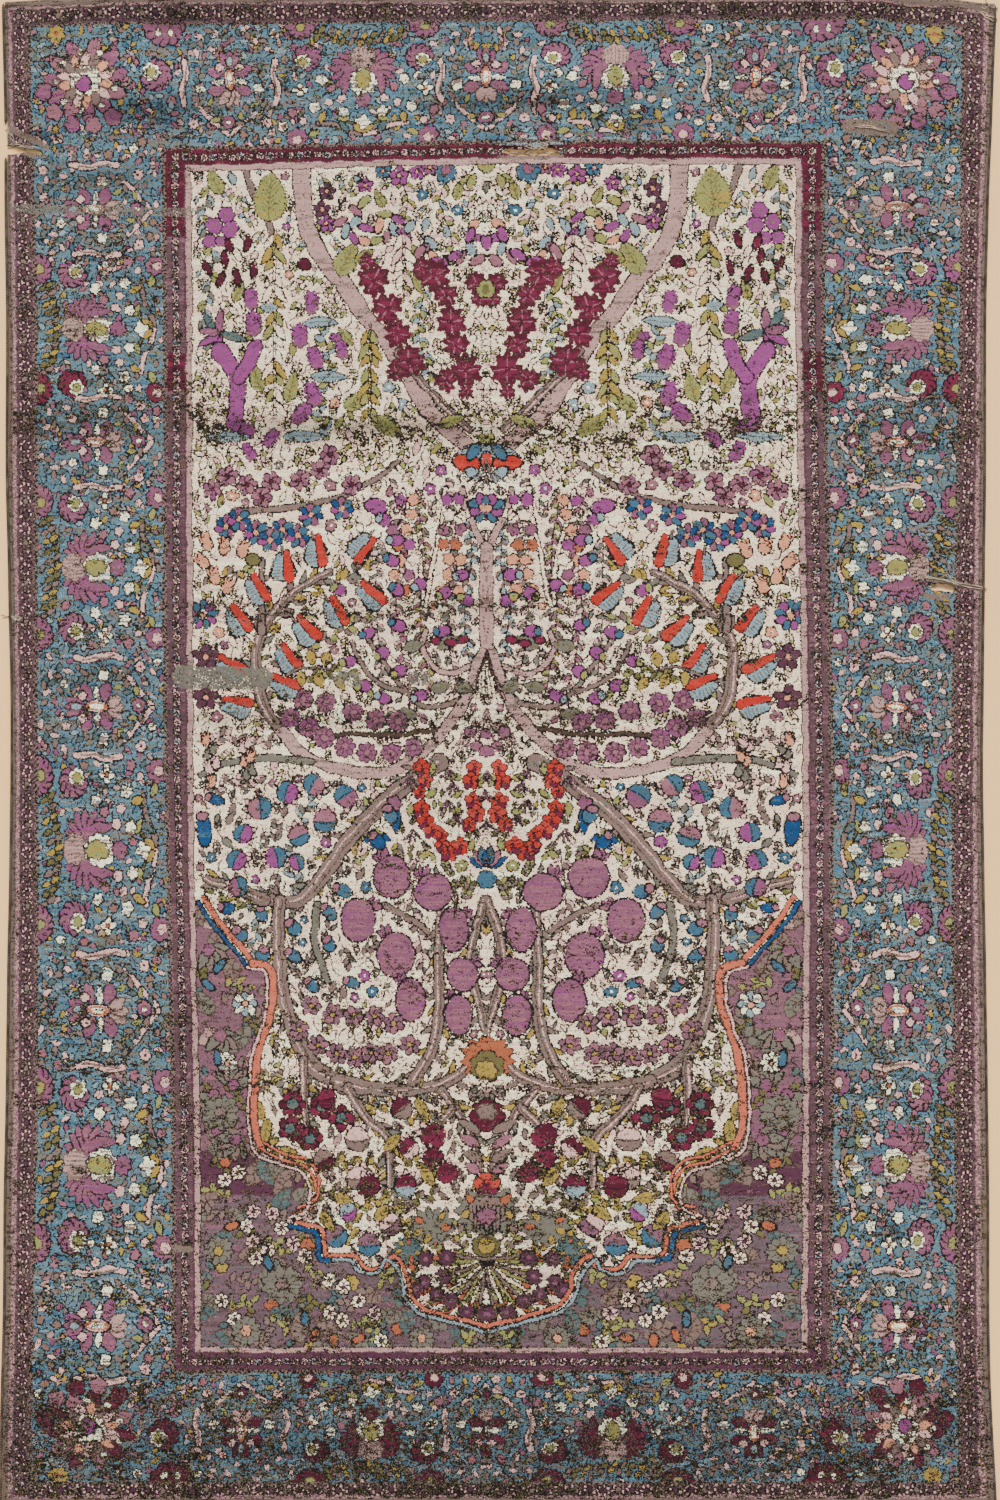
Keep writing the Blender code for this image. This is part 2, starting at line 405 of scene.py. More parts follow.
def vine(c, x, y, size, turn, bend, dye, width):
    dx, dy = cos(turn) * size, sin(turn) * size
    c.line(((x - dx, y - dy), (x + dy * bend, y - dx * bend), (x + dx, y + dy)), dye, width)


def fir(c, x, y, height, dyes, lean=0.0):
    """A tall dark stalk with long leaves hanging close to it."""
    for n in range(int(height / 13)):
        at = (x + lean * n * 13, y + n * 13)
        size = 17 + 4 * sin(n * 2.1)
        for side in (-1, 1):
            turn = QUARTER - side * (0.5 + 0.12 * (n % 3))
            c.paint(*at, leaf(size, 6.5, turn), dyes[(2 * n + side) % len(dyes)], 0.8)
    for shift in (-1.2, 1.4):
        c.line(((x + shift, y - 6), (x + shift + lean * height, y + height)), "ink", 0.7)


def scales(c, x, y, size, turn, dye):
    """A spread of small scale-like leaves, the second row wider than the first."""
    for n in range(2):
        for k in range(-n - 1, n + 2):
            angle = turn + k * 0.42
            at = around(x, y, size * (0.5 + n * 0.62), angle)
            c.paint(*at, box(size * 0.36, size * 0.3, angle), dye, 0.6, "brown")


def spray(c, points, dyes, length, width, spacing, stem_dye="ink", start=0.0):
    """A thin twig with leaves on both sides in turn."""
    route = curve_points(points)
    c.line(points, stem_dye, 0.8)
    step = max(1, int(spacing / LINE_STEP))
    for n, i in enumerate(range(int(start / LINE_STEP), len(route) - 2, step)):
        dx, dy = route[i + 1] - route[i]
        side = 1 if n % 2 else -1
        angle = atan2(dy, dx) + side * 0.75
        c.paint(*route[i], leaf(length, width, angle), dyes[n % len(dyes)], 0.7)


def fan(c, x, y, r, dye, count, spread):
    """Thin strokes opening downwards from a place."""
    for n in range(count):
        angle = QUARTER + spread * (n / (count - 1) - 0.5)
        route = ((x, y), around(x, y, r * 0.5, angle - 0.15), around(x, y, r, angle))
        c.stem(route, 1.2, dye, end_width=0.8, edge=0.6)


# Border motifs along each side, in squares of the cartoon: middle of the motif, stretch along the border
SIDE_PALMETTES = ((328, 1.0), (568, 1.08), (850, 1.22), (1165, 1.28))
SIDE_CROSSES = ((206, 1.0), (442, 1.0), (707, 1.1), (1010, 1.24), (1325, 1.2))
END_PALMETTES = ((364, 1.0),)
END_CROSSES = ((232, 1.0), (486, 1.0))
BORDER_DEPTH = 125
FLANK = 56
WHOLE = (0.0, 0.0, 1.0, 0.0, 0.0, 1.0)


def beside(side, *places):
    """Places on one side of a border flower's own middle line."""
    return [(side * x, y) for x, y in places]


def broad_palmette(c, deep):
    """The border's main flower, side on; first axis along the border, second inwards."""
    for side in (-1, 1):
        for n, angle in enumerate(steps(6, 0.42, -1.25)):
            c.paint(side * 9, 47, leaf(22 + n, 8.5, angle if side > 0 else pi - angle, 1.2), deep, 0.7)
        c.paint(side * 16, 48, leaf(27, 9, QUARTER - 0.12 * side, 0.8), deep, 0.7)
        c.paint(side * 13, 48, petals(7, 6, 0.2), deep, 0)
    c.paint(0, 36, petals(13, 8, 0.16, 0.2, 0.9), "pale_pink", 0.7, "brown")
    for n in range(-3, 4):
        c.line(((n * 3.8, 27 + abs(n)), (n * 3, 46)), "dusty", 0.7)
    c.paint(0, 61, petals(13.5, 10, 0.2, 0.1, 1.15), "ivory", 0.7)
    c.paint(0, 58, petals(7.2, 8, 0.14, 0, 1.5), "sage", 0.7, "brown")
    c.line(((-1, 51), (-1, 66)), "gold", 1.2)
    c.paint(0, 80, spikes(8.5, 8, 0.3, 0.5), deep)
    for side in (-1, 1):
        for x, y, r, dye in (
            (19, 92, 5.5, "ivory"), (21, 78, 4.5, "blush"), (31, 66, 4.5, "rose"), (34, 82, 4, "blush"),
        ):
            c.paint(side * x, y, petals(r, 5, 0.28, side), dye, 0.8)
    c.paint(0, 103, spikes(8, 4, 0.5, 0.2), "ivory")


def broad_twigs(c):
    c.stem(((-48, 8), (-30, 16), (-8, 19), (10, 18), (30, 16), (46, 7)), 3, "olive")
    for n in range(-5, 6):
        for side in (-1, 1):
            dye = ("gold", "olive", "dusty")[n % 3]
            c.paint(n * 8.6, 17 - abs(n) * 1.5, leaf(9, 4.4, QUARTER * side + 0.5), dye, 0.8)
    for side in (-1, 1):
        c.stem(beside(side, (1, 116), (14, 113), (28, 106), (44, 104)), 4, "blush" if side > 0 else "dusty")
        c.stem(beside(side, (3, 108), (16, 101), (26, 92)), 1.4, "olive")
        leaves = ((9, 106, 2.4), (14, 97, 0.4), (22, 103, 2.2), (38, 92, 1.2), (44, 112, 0.4))
        for n, (x, y, turn) in enumerate(leaves):
            c.paint(side * x, y, leaf(12, 6, turn if side > 0 else pi - turn), ("gold", "sage", "teal")[n % 3])


def cross_palmette(c, deep):
    """The border's second flower, separate petals round a narrow eye."""
    for side in (-1, 1):
        for across, turn in ((53, -0.42), (65, 0.34)):
            c.paint(side * 4, across, leaf(19, 11.5, turn if side > 0 else pi - turn, 1.3), deep, 0.8)
        c.paint(side * 5, 59.5, leaf(14, 5, 0 if side > 0 else pi), "ivory", 0.8)
        c.paint(side * 10, 45, petals(4.2, 4, 0.3), "blush")
        c.paint(side * 29, 66, petals(5.5, 4, 0.35, 0.6), "ivory")
    wreath(c, 0, 48, 0, (-1.95, -1.57, -1.19), lambda a: leaf(21, 8, a, 1.1), (deep,), 0.7)
    c.paint(0, 38, oval(2.6, 4.6), "ice", 0.6, "brown")
    wreath(c, 0, 68, 0, (1.0, 1.57, 2.1), lambda a: leaf(18, 9, a, 1.1), ("pale_pink",), rim="brown")
    c.paint(0, 58, oval(5, 10.5), "blush", 0.8)
    c.paint(0, 58, oval(2.6, 7.5), "ivory", 0.8, "rust")
    c.paint(-1, 101, petals(6.5, 6, 0.2), deep)
    c.paint(-1, 101, oval(2.2, 2.2), "ivory", 0.6, "brown")


def cross_twigs(c):
    for side in (-1, 1):
        c.stem(beside(side, (1, 114), (12, 104), (24, 93), (33, 84)), 4, "blush")
        c.stem(beside(side, (45, 38), (43, 52), (47, 68), (45, 82)), 5, "blush")
        c.line(beside(side, (43, 44), (44, 60), (46, 76)), "dusty", 1.2)
        spray(c, beside(side, (2, 107), (16, 92), (22, 80)), ("teal", "dusty", "sage"), 9, 4.5, 6)
        spray(c, beside(side, (2, 3), (14, 6), (27, 14), (36, 28)), ("dusty", "teal", "blush"), 9, 4.6, 5.5)
        spray(c, beside(side, (30, 90), (31, 66), (27, 40)), ("teal", "grey_green", "dusty"), 9, 4.6, 5)
        floret(c, side * 36, 102, 5, "blush", "wine")


# Angles of a half open flower's petals
HALF_OPEN = [(n - 3) * 0.48 + QUARTER for n in range(7)]


def curled_flower(c, x, y, r, turn, deep):
    """A round flower seen from the side, open towards the turn."""
    angles = [turn + pi + (n - 3.5) * 0.62 for n in range(8)]
    wreath(c, x, y, r * 0.62, angles, lambda a: oval(r * 0.4, r * 0.36, a), (deep,))
    c.paint(x, y, oval(r * 0.6, r * 0.6), deep, 0)
    at = around(x, y, r * 0.35, turn)
    c.paint(*at, petals(r * 0.58, 7, 0.22, turn), "ivory", 0.7)
    c.paint(*at, petals(r * 0.32, 6, 0.22, turn), "sage", 0.6, "brown")


def flank_flowers(c, side, deep):
    """The flowers between the two kinds of border flower."""
    curled_flower(c, side * FLANK, 35, 13.5, 2.4 if side < 0 else 0.9, deep)
    wreath(c, side * (FLANK + 5), -1, 11, HALF_OPEN, lambda a: oval(4.8, 4, a), (deep,))
    c.paint(side * (FLANK + 5), 0, oval(10, 10), deep, 0)
    c.paint(side * (FLANK + 5), 2, petals(4.6, 6, 0.2), "sage", rim="brown")
    c.paint(side * 65, 118, petals(10, 7, 0.2), deep)
    c.paint(side * 65, 120, petals(4.5, 5, 0.2), "blush", 0.6, "brown")
    flower(c, side * 62, 68, 7, ("ivory",), "rust", 4)
    for x, y, r, dye in ((48, 87, 6, "ivory"), (41, 58, 5.5, "ivory"), (70, 92, 5, "rose"), (60, 101, 4, "blush")):
        c.paint(side * x, y, spikes(r, 5, 0.32, y), dye)


def border_unit(c, frame, palmette, deep, wine):
    c.frame = frame
    if palmette:
        broad_twigs(c)
        broad_palmette(c, deep)
        flank_flowers(c, -1, deep)
        flank_flowers(c, 1, wine)
    else:
        cross_twigs(c)
        cross_palmette(c, deep)
    c.frame = WHOLE


def small_border_leaves(c, mask, random):
    """Small leaves, florets and vines in what is left of the border's ground."""
    grounds = [DYE["sky"]]
    c.open = mask & (c.knots == grounds[0])
    rows, columns = np.nonzero(c.open)
    keep = random.permutation(len(rows))[:BORDER_TRIES]
    leaves = ("sky", "teal", "gold", "dusty", "blush", "rose", "dusty", "blue", "pale_pink", "ice", "orchid")
    for r, q in zip(rows[keep], columns[keep]):
        x, y = c.xs[q], c.ys[r]
        turn = random.uniform(0, FULL)
        kind = random.randint(0, 12)
        if kind < 2 and c.bare(x, y, 4.6, grounds):
            floret(c, x, y, 4.2, ("ivory", "blush", "rose", "dusty")[random.randint(0, 4)], "rust", 5, turn)
        elif kind < 5 and c.bare(x, y, 4.4, grounds):
            twiglet(c, x, y, 10, turn, random.permutation(leaves), random)
        elif kind < 9 and c.bare(x, y, 3.2, grounds):
            c.paint(x, y, leaf(8.5, 4.4, turn), leaves[random.randint(0, len(leaves))], 0.65)
        elif c.bare(x, y, 2.2, grounds):
            vine(c, x, y, 4, turn, 0.3, ("ink", "olive", "ink")[kind % 3], 0.65)


def draw_border(c, random):
    ring = c.within(BORDER_OUT, BORDER_IN)
    c.open = ring
    c.knots[ring] = DYE["sky"]
    in_top = (BORDER_IN[1] - BORDER_OUT[1]) / BORDER_DEPTH
    in_bottom = (BORDER_OUT[2] - BORDER_IN[2]) / BORDER_DEPTH
    out = BORDER_OUT
    units = []
    for table, palmette in ((SIDE_CROSSES, False), (SIDE_PALMETTES, True)):
        for place, stretch in table:
            units.append(((out[0], place, 0.0, stretch, 1.0, 0.0), palmette, "orchid"))
    for table, palmette in ((END_CROSSES, False), (END_PALMETTES, True)):
        for place, stretch in table:
            units.append(((place, out[1], stretch, 0.0, 0.0, in_top), palmette, "orchid"))
            units.append(((place + 4, out[2], stretch, 0.0, 0.0, -in_bottom), palmette, "wine"))
    for frame_of_unit, palmette, deep in sorted(units, key=lambda unit: unit[1]):
        border_unit(c, frame_of_unit, palmette, deep, "crimson" if frame_of_unit[1] == SIDE_PALMETTES[0][0] else deep)
    for y, flip, deep in ((80, 1, "orchid"), (1429, -1, "wine")):
        c.frame = (91.0, y, 1.0, 0.0, 0.0, flip)
        corner_palmette(c, deep)
        curled_flower(c, 68, -5, 15, -2.6, deep)
        wreath(c, 76, -54, 15, HALF_OPEN, lambda a: oval(6, 5, a), (deep,))
        c.paint(76, -54, oval(14, 14), deep, 0)
        for n in (-1, 1):
            c.paint(76 + n * 6, -46, oval(2.6, 3.4), "ivory", 0.5, "brown")
        floret(c, -28, -46, 9, "gold", "rust", 7)
        c.frame = WHOLE
    small_border_leaves(c, ring, random)


def corner_palmette(c, deep):
    """The large flower in the corner, set across the diagonal."""
    wreath(c, 0, 0, 14, steps(11, 0.56, -1.3), lambda a: leaf(28, 13, a, 1.2), ("rose", deep, deep))
    dyes = ("peach", "blush", "dusty")
    wreath(c, 0, 0, 11, steps(14, 0.449, 0.2), lambda a: leaf(17, 8, a, 1.1), dyes, 0.8, "brown")
    c.paint(0, 0, petals(15, 9, 0.2), "ivory", rim="brown")
    c.paint(-2, 3, oval(7, 7.5), "violet")
    c.paint(-8, -3, oval(3.6, 3.6), "ivory", 0.6, "brown")
    wreath(c, 0, 0, 29, steps(9, 0.7, 0.3), lambda a: oval(3, 2.4), ("ivory",), 0.6, "brown")
    wreath(c, 0, 0, 42, steps(5, 0.5, 0.9), lambda a: petals(8, 5, 0.2, a), (deep, "rose"), down=44)


# Florets of each guard: dyes of flower and leaf in turn, distance between two, size as a share of the guard
OUTER_DOTS = ((("dusty", "guard"), ("dusty", "plum"), ("blush", "guard")), 13.5, 0.28)
INNER_DOTS = ((("blush", "dusty"), ("dusty", "guard"), ("ice", "rose")), 9.5, 0.11)


def draw_guard(c, lines_out, lines_in, dots, pitch, share):
    """A narrow band with a running row of florets and small leaves."""
    ring = c.within(lines_out, lines_in)
    c.open = ring
    c.knots[ring] = DYE["guard"]
    middles = [(o + i) / 2 for o, i in zip(lines_out, lines_in)]
    size = abs(lines_in[0] - lines_out[0]) * share
    places = []
    y = middles[1]
    while y < middles[2]:
        places.append((middles[0], y, QUARTER))
        y += pitch
    x = middles[0] + pitch
    while x < MIDDLE + pitch:
        places.append((x, middles[1], 0.0))
        places.append((x, middles[2], 0.0))
        x += pitch
    for n, (x, y, turn) in enumerate(places):
        flower_dye, leaf_dye = dots[n % len(dots)]
        wreath(c, x, y, size, steps(7, 0.9), lambda a: oval(1.2, 1.2), ("blush", flower_dye, flower_dye), 0.5)
        c.paint(x, y, oval(size * 0.5, size * 0.5), "plum" if n % 3 else "dusty", 0.5)
        mid = around(x, y, pitch / 2, turn)
        for side in (-1, 1):
            c.paint(*mid, leaf(size * 1.6, size * 0.8, turn + side * 1.2), leaf_dye, 0.5)


def draw_lines(c, lines_out, lines_in, first, second, random):
    """A thin line of knots in two dyes in turn."""
    ring = c.within(lines_out, lines_in)
    step = (np.arange(KNOT_ROWS)[:, None] // 3 + np.arange(HALF_KNOTS)[None, :] // 3) % 2
    noise = random.rand(KNOT_ROWS, HALF_KNOTS) < 0.25
    c.knots[ring] = np.where((step == 0) ^ noise, DYE[first], DYE[second])[ring]


# Stretches of the inner guard whose ground is another red: from row, to row, dye
GUARD_STRETCHES = ((BORDER_IN[1], 232, "wine"), (352, 392, "wine"), (1340, BOTTOM, "plum"))


def draw_frame(c, random):
    draw_border(c, random)
    dotted_out = (BORDER_OUT[0] - 4, BORDER_OUT[1] - 3.5, BORDER_OUT[2] + 3)
    draw_guard(c, PILE_EDGE, dotted_out, *OUTER_DOTS)
    draw_lines(c, dotted_out, BORDER_OUT, "dusty", "ink", random)
    dotted_in = (BORDER_IN[0] + 4.5, BORDER_IN[1] + 4, BORDER_IN[2] - 3.5)
    draw_lines(c, BORDER_IN, dotted_in, "dusty", "ink", random)
    draw_guard(c, dotted_in, BAND_IN, *INNER_DOTS)
    band = c.within(dotted_in, BAND_IN)
    y = np.broadcast_to(c.ys[:, None], band.shape)
    for low, high, dye in GUARD_STRETCHES:
        c.knots[band & (y > low) & (y < high) & (c.knots == DYE["guard"])] = DYE[dye]
    c.open = np.ones_like(c.open)
    c.knots[c.within(BAND_IN, FIELD)] = DYE["pale_pink"]
    edge = (BAND_IN[0] + 1.2, BAND_IN[1] + 1.2, BAND_IN[2] - 1.2)
    c.knots[c.within(BAND_IN, edge)] = DYE["plum"]
    edge = (FIELD[0] - 1.2, FIELD[1] - 1.2, FIELD[2] + 1.2)
    c.knots[c.within(edge, FIELD)] = DYE["ink"]
    strip = ~c.within(PILE_EDGE)
    c.knots[strip] = DYE["warp"]
    draw_lines(c, (PILE_EDGE[0] - 5, PILE_EDGE[1] - 2.5, PILE_EDGE[2] + 3), PILE_EDGE, "pale_pink", "mauve", random)
    draw_lines(c, (LEFT + 3, TOP + 2, BOTTOM - 2), (LEFT + 4.5, TOP + 3.5, BOTTOM - 3.5), "brown", "warp", random)


# Thick branches: width at the start, width at the end, dye, places of the route
BRANCHES = (
    (16, 15, "pale_pink", (
        (303, 158), (304, 195), (309, 228), (324, 258), (345, 284), (363, 312), (386, 340), (408, 374), (430, 412),
        (470, 448),
    )),
    (7, 6, "dusty", ((398, 352), (420, 380), (446, 408), (470, 430))),
    (6, 5, "dusty", ((246, 162), (254, 190), (268, 215), (275, 250))),
    (6, 5, "pale_pink", ((486, 560), (478, 535), (466, 510), (462, 490))),
    (5, 4, "pale_pink", ((481, 660), (468, 668), (447, 673), (430, 664), (422, 646), (426, 632))),
    (5, 3, "dusty", ((474, 690), (450, 704), (424, 706), (404, 690), (388, 668), (368, 640))),
    (4, 3, "dusty", ((404, 692), (382, 684), (364, 668), (352, 642))),
    (3, 3, "cream", ((424, 606), (420, 560), (410, 520), (404, 490))),
    (3, 3, "cream", ((426, 606), (434, 560), (442, 520), (446, 488))),
    (4, 3, "brown", ((456, 728), (430, 730), (396, 735), (350, 734), (310, 736), (280, 712))),
    (12, 12, "pale_pink", ((486, 548), (486, 580), (486, 645))),
    (9, 11, "pale_pink", (
        (486, 646), (478, 662), (468, 692), (448, 726), (418, 756), (384, 773), (338, 769), (302, 754), (276, 724),
    )),
    (11, 6, "dusty", ((276, 724), (262, 700), (257, 660), (262, 632), (284, 602), (306, 585), (330, 572))),
    (6, 4, "dusty", ((262, 632), (262, 600), (262, 560))),
    (7, 5, "grey_green", ((310, 762), (270, 758), (230, 762), (200, 775))),
    (16, 12, "dusty", ((440, 762), (402, 788), (353, 833), (303, 897), (262, 899))),
    (12, 7, "dusty", ((262, 899), (232, 888), (205, 879))),
    (6, 4, "dusty", ((235, 513), (282, 508), (330, 500), (372, 482), (398, 462))),
    (11, 16, "dusty", ((278, 900), (276, 930), (277, 957), (280, 995), (292, 1035), (310, 1066), (340, 1085))),
    (14, 8, "dusty", ((335, 1082), (370, 1088), (410, 1089), (450, 1080), (485, 1050))),
    (7, 5, "grey_green", ((317, 905), (313, 941), (325, 980))),
    (6, 4, "dusty", ((384, 905), (421, 926), (436, 945))),
    (8, 11, "dusty", ((440, 907), (438, 960), (438, 1010), (430, 1050), (412, 1080))),
    (9, 6, "dusty", ((345, 1088), (362, 1115), (385, 1140), (388, 1185))),
    (8, 5, "dusty", ((300, 1060), (300, 1100), (302, 1130))),
    (8, 7, "dusty", ((485, 900), (470, 960), (485, 1030))),
    (8, 5, "dusty", ((440, 1090), (460, 1115), (476, 1150), (484, 1190))),
    (7, 5, "dusty", ((452, 1108), (436, 1130), (430, 1165), (410, 1190))),
)

# Thin twigs with leaves: leaf length, leaf width, spacing, dyes, places of the route
TWIGS = (
    (12, 5, 10, ("grey_green", "sage", "ice"), ((212, 172), (206, 220), (214, 262), (206, 310), (212, 345))),
    (12, 6, 11, ("blush", "sage"), ((238, 445), (232, 400), (246, 365), (258, 310))),
    (12, 6, 10, ("sage", "ice"), ((330, 440), (318, 400), (330, 360), (318, 322))),
    (11, 5, 9, ("sage", "blush"), ((398, 168), (408, 200), (403, 245), (404, 300))),
    (11, 5, 9, ("blush", "ice", "sage"), ((452, 170), (440, 200), (452, 240), (446, 268))),
    (11, 5, 9, ("ice", "sage"), ((425, 290), (418, 330), (428, 368), (432, 410))),
    (11, 5, 10, ("dusty", "sage", "gold"), ((205, 585), (238, 572), (262, 580))),
    (14, 7, 10, ("grey_green", "gold", "dusty"), ((262, 640), (286, 608), (318, 586), (352, 575), (378, 552))),
    (12, 6, 10, ("sage", "dusty"), ((262, 665), (300, 650), (340, 632), (372, 612))),
    (10, 5, 9, ("olive", "sage"), ((270, 700), (300, 680), (340, 672), (372, 690))),
    (10, 4, 7, ("dusty", "rose", "blush"), ((390, 480), (402, 540), (396, 600), (404, 660), (420, 720))),
    (10, 4, 7, ("dusty", "grey_green", "blush"), ((446, 478), (452, 540), (448, 600), (452, 660), (462, 700))),
    (10, 4, 7, ("rose", "dusty", "sage"), ((418, 500), (425, 560), (420, 620), (430, 690))),
    (10, 4, 7, ("blush", "grey_green"), ((378, 540), (376, 600), (382, 670), (392, 740))),
    (9, 4, 7, ("dusty", "ice"), ((466, 500), (472, 560), (464, 610), (470, 660))),
    (11, 5, 9, ("dusty", "blush"), ((206, 745), (226, 735), (250, 745), (276, 740))),
    (11, 5, 9, ("blush", "dusty"), ((206, 795), (232, 780), (262, 782))),
    (12, 5, 10, ("ice", "grey_green"), ((300, 895), (290, 860), (300, 820), (320, 790))),
    (12, 5, 10, ("blush", "sage"), ((360, 870), (362, 830), (372, 795), (392, 780))),
    (11, 5, 10, ("grey_green", "ice"), ((250, 890), (256, 930), (246, 965), (262, 1000))),
    (11, 5, 10, ("dusty", "blush"), ((418, 850), (412, 900), (422, 960), (420, 1000))),
    (11, 5, 9, ("olive", "sage"), ((262, 905), (230, 900), (206, 885))),
    (12, 6, 8, ("olive", "gold"), ((262, 1140), (300, 1165), (330, 1160), (360, 1165), (400, 1158), (440, 1170))),
    (12, 6, 8, ("gold", "grey_green"), (
        (268, 1085), (300, 1095), (340, 1118), (380, 1105), (420, 1120), (462, 1108),
    )),
    (11, 5, 8, ("olive", "dusty"), ((300, 1200), (330, 1190), (370, 1180), (400, 1200), (440, 1192))),
    (12, 6, 8, ("gold", "sage"), ((345, 1245), (352, 1215), (372, 1200), (398, 1215), (418, 1250))),
    (12, 6, 8, ("sage", "rust"), ((484, 1305), (460, 1290), (440, 1262), (432, 1235))),
    (12, 6, 8, ("dusty", "sage"), ((484, 1300), (468, 1272), (462, 1250), (455, 1220))),
    (12, 6, 8, ("rust", "olive"), ((484, 1310), (450, 1305), (424, 1290), (405, 1262))),
)


def draw_branches(c):
    for wide, narrow, dye, route in BRANCHES:
        if wide > 7 and dye == "dusty":
            places = curve_points(route)
            for n in range(14, len(places) - 14, 17):
                dx, dy = places[n + 1] - places[n]
                for side in (-1, 1):
                    angle = atan2(dy, dx) + side * (0.7 + 0.3 * sin(n * 1.7))
                    dye_of_leaf = ("dusty", "grey_green", "gold", "cream")[(n + side) % 4]
                    c.paint(*places[n], leaf(wide * 0.5 + 13, 5, angle), dye_of_leaf, 0.8)
        c.stem(route, wide, dye, end_width=narrow)
        if wide > 6 and dye == "dusty":
            c.line([(x - wide * 0.18, y) for x, y in route], "blush", 0.7)
            c.line([(x + wide * 0.2, y) for x, y in route], "brown", 0.6)


def draw_twigs(c):
    for length, width, spacing, dyes, route in TWIGS:
        spray(c, route, dyes, length, width, spacing)
        spray(c, route, dyes[::-1], length * 0.8, width * 0.9, spacing, start=spacing * 0.5)


def top_foliage(c):
    for x, y, length, width, turn in (
        (270, 218, 50, 38, -1.5), (222, 190, 28, 15, -2.0), (340, 274, 36, 24, -1.1), (262, 392, 30, 15, -1.9),
        (288, 402, 32, 15, -1.3), (345, 408, 30, 17, -0.5), (400, 434, 34, 18, -2.6), (356, 262, 22, 12, -0.6),
        (330, 232, 20, 12, -2.2), (415, 275, 20, 10, 1.2), (352, 345, 22, 10, -2.2), (236, 300, 22, 10, -1.2),
        (455, 200, 20, 11, -1.2), (384, 205, 18, 10, -2.0), (440, 425, 26, 12, -0.3),
    ):
        big_leaf(c, x, y, length, width, turn)
    for x, y in ((474, 178), (485, 184), (478, 166), (470, 190)):
        c.paint(x, y, leaf(15, 8, x), ("sage", "grey_green")[x % 2])
    for x, y, r, dye in (
        (400, 176, 9, "violet"), (384, 170, 7, "blue"), (418, 172, 7, "violet"), (430, 168, 7, "orchid"),
        (328, 190, 8, "plum"), (323, 208, 8, "plum"), (328, 222, 8, "violet"), (366, 184, 7, "violet"),
    ):
        flower(c, x, y, r, (dye,), "peach", 5)
    c.paint(446, 172, petals(11, 8, 0.2), "blue")
    c.paint(446, 170, petals(5, 6, 0.2), "orchid", rim="brown")
    arcs = (
        (370, 214, 30, 0.2, 2.9, 8), (370, 214, 15, 0.0, 4.4, 6), (448, 236, 28, -0.4, 2.6, 7),
        (418, 238, 14, 0.4, 4.2, 6),
    )
    n = 0
    for x, y, r, first, last, count in arcs:
        for k in range(count):
            angle = first + (last - first) * k / (count - 1)
            at = (x + r * cos(angle), y + r * sin(angle) * 0.9)
            c.paint(*at, oval(7, 3.8, angle * 2), ("violet", "ice", "rose", "sage", "peach")[n % 5], 0.8)
            n += 1
    for x, y in ((455, 256), (470, 236), (485, 244), (477, 262), (440, 262), (420, 252)):
        c.paint(x, y, oval(7.5, 4, x), ("rose", "ice", "violet")[int(x) % 3], 0.8)


def wine_clusters(c):
    for x, y, r in (
        (374, 280, 15), (368, 262, 8), (388, 308, 14), (398, 334, 13), (410, 362, 15), (396, 372, 9), (434, 276, 15),
        (446, 296, 11), (422, 268, 9), (452, 322, 14), (456, 345, 12), (466, 370, 15), (446, 380, 11), (476, 284, 10),
        (480, 300, 8), (466, 392, 7),
    ):
        cluster(c, x, y, r, x * 0.9)
    c.paint(486, 290, petals(9, 6, 0.2), "sage")
    c.paint(486, 290, oval(4, 5), "olive", 0)


def iris_group(c):
    for x, y, r in ((215, 222, 8), (228, 211, 8), (231, 226, 8), (211, 238, 7), (222, 238, 6)):
        c.paint(x, y, petals(r, 6, 0.16), "violet", 0.8)
        c.paint(x, y, oval(r * 0.4, r * 0.3), "orchid", 0)
    for x, y, turn in (
        (230, 243, 1.2), (248, 240, 1.8), (208, 264, 1.1), (222, 277, 1.9), (238, 275, 1.3), (255, 268, 1.7),
        (226, 257, 1.5),
    ):
        c.paint(x, y, oval(7, 3, turn), "wine")
    c.paint(305, 263, oval(6, 6), "wine")
    fir(c, 275, 232, 185, ("cream", "gold", "cream", "sage", "cream"))
    fir(c, 370, 330, 96, ("cream", "sage", "cream", "gold"))
    fir(c, 403, 235, 60, ("cream", "blush", "cream"), 0.05)
    # A pointed star, its petals blue above and magenta below
    for reach, angle, dye in (
        (28, -2.3, "teal"), (24, -1.6, "orchid"), (27, 0.3, "teal"), (27, 1.9, "violet"), (26, 2.6, "violet"),
        (22, -3.0, "orchid"),
    ):
        c.paint(222, 332, leaf(reach, 8, angle), dye)
    for x, y, a, b, turn in (
        (252, 298, 11, 8, 1.4), (254, 323, 12, 9, 1.5), (312, 302, 12, 8, 1.5), (301, 335, 12, 9, 1.4),
        (316, 358, 12, 9, 1.2), (314, 395, 13, 9, 1.2), (302, 414, 13, 9, 2.4), (342, 350, 10, 7, 1.3),
        (246, 430, 12, 8, 0.4), (250, 452, 11, 7, 1.0), (272, 438, 12, 7, -0.7), (336, 337, 6, 5, 0.0),
    ):
        for n in (-1, 0, 1):
            at = around(x, y, n * a * 0.3, turn, n * a * 0.42)
            c.paint(*at, spikes(b * 0.92, 6, 0.28, n + x), ("violet", "orchid", "violet")[n], 0.6)
        c.paint(x, y, oval(a * 0.7, b * 0.55, turn), "violet", 0)
        c.line(((x - a * 0.4, y + 2), (x + a * 0.3, y - 2)), "plum", 0.6)
    c.stem(((221, 350), (230, 364), (238, 378), (238, 400), (235, 424)), 16, "violet", end_width=16 * 0.9)
    c.stem(((256, 346), (250, 362), (240, 378)), 13, "violet", end_width=13 * 0.9)
    for x, y, length in ((304, 322, 34), (312, 377, 36), (207, 437, 44), (284, 437, 42), (262, 306, 16)):
        c.paint(x, y, leaf(length, 11, 0.0, 0.9, 0.3), "ice")
        c.line(((x + 4, y), (x + length - 4, y)), "teal", 0.6)


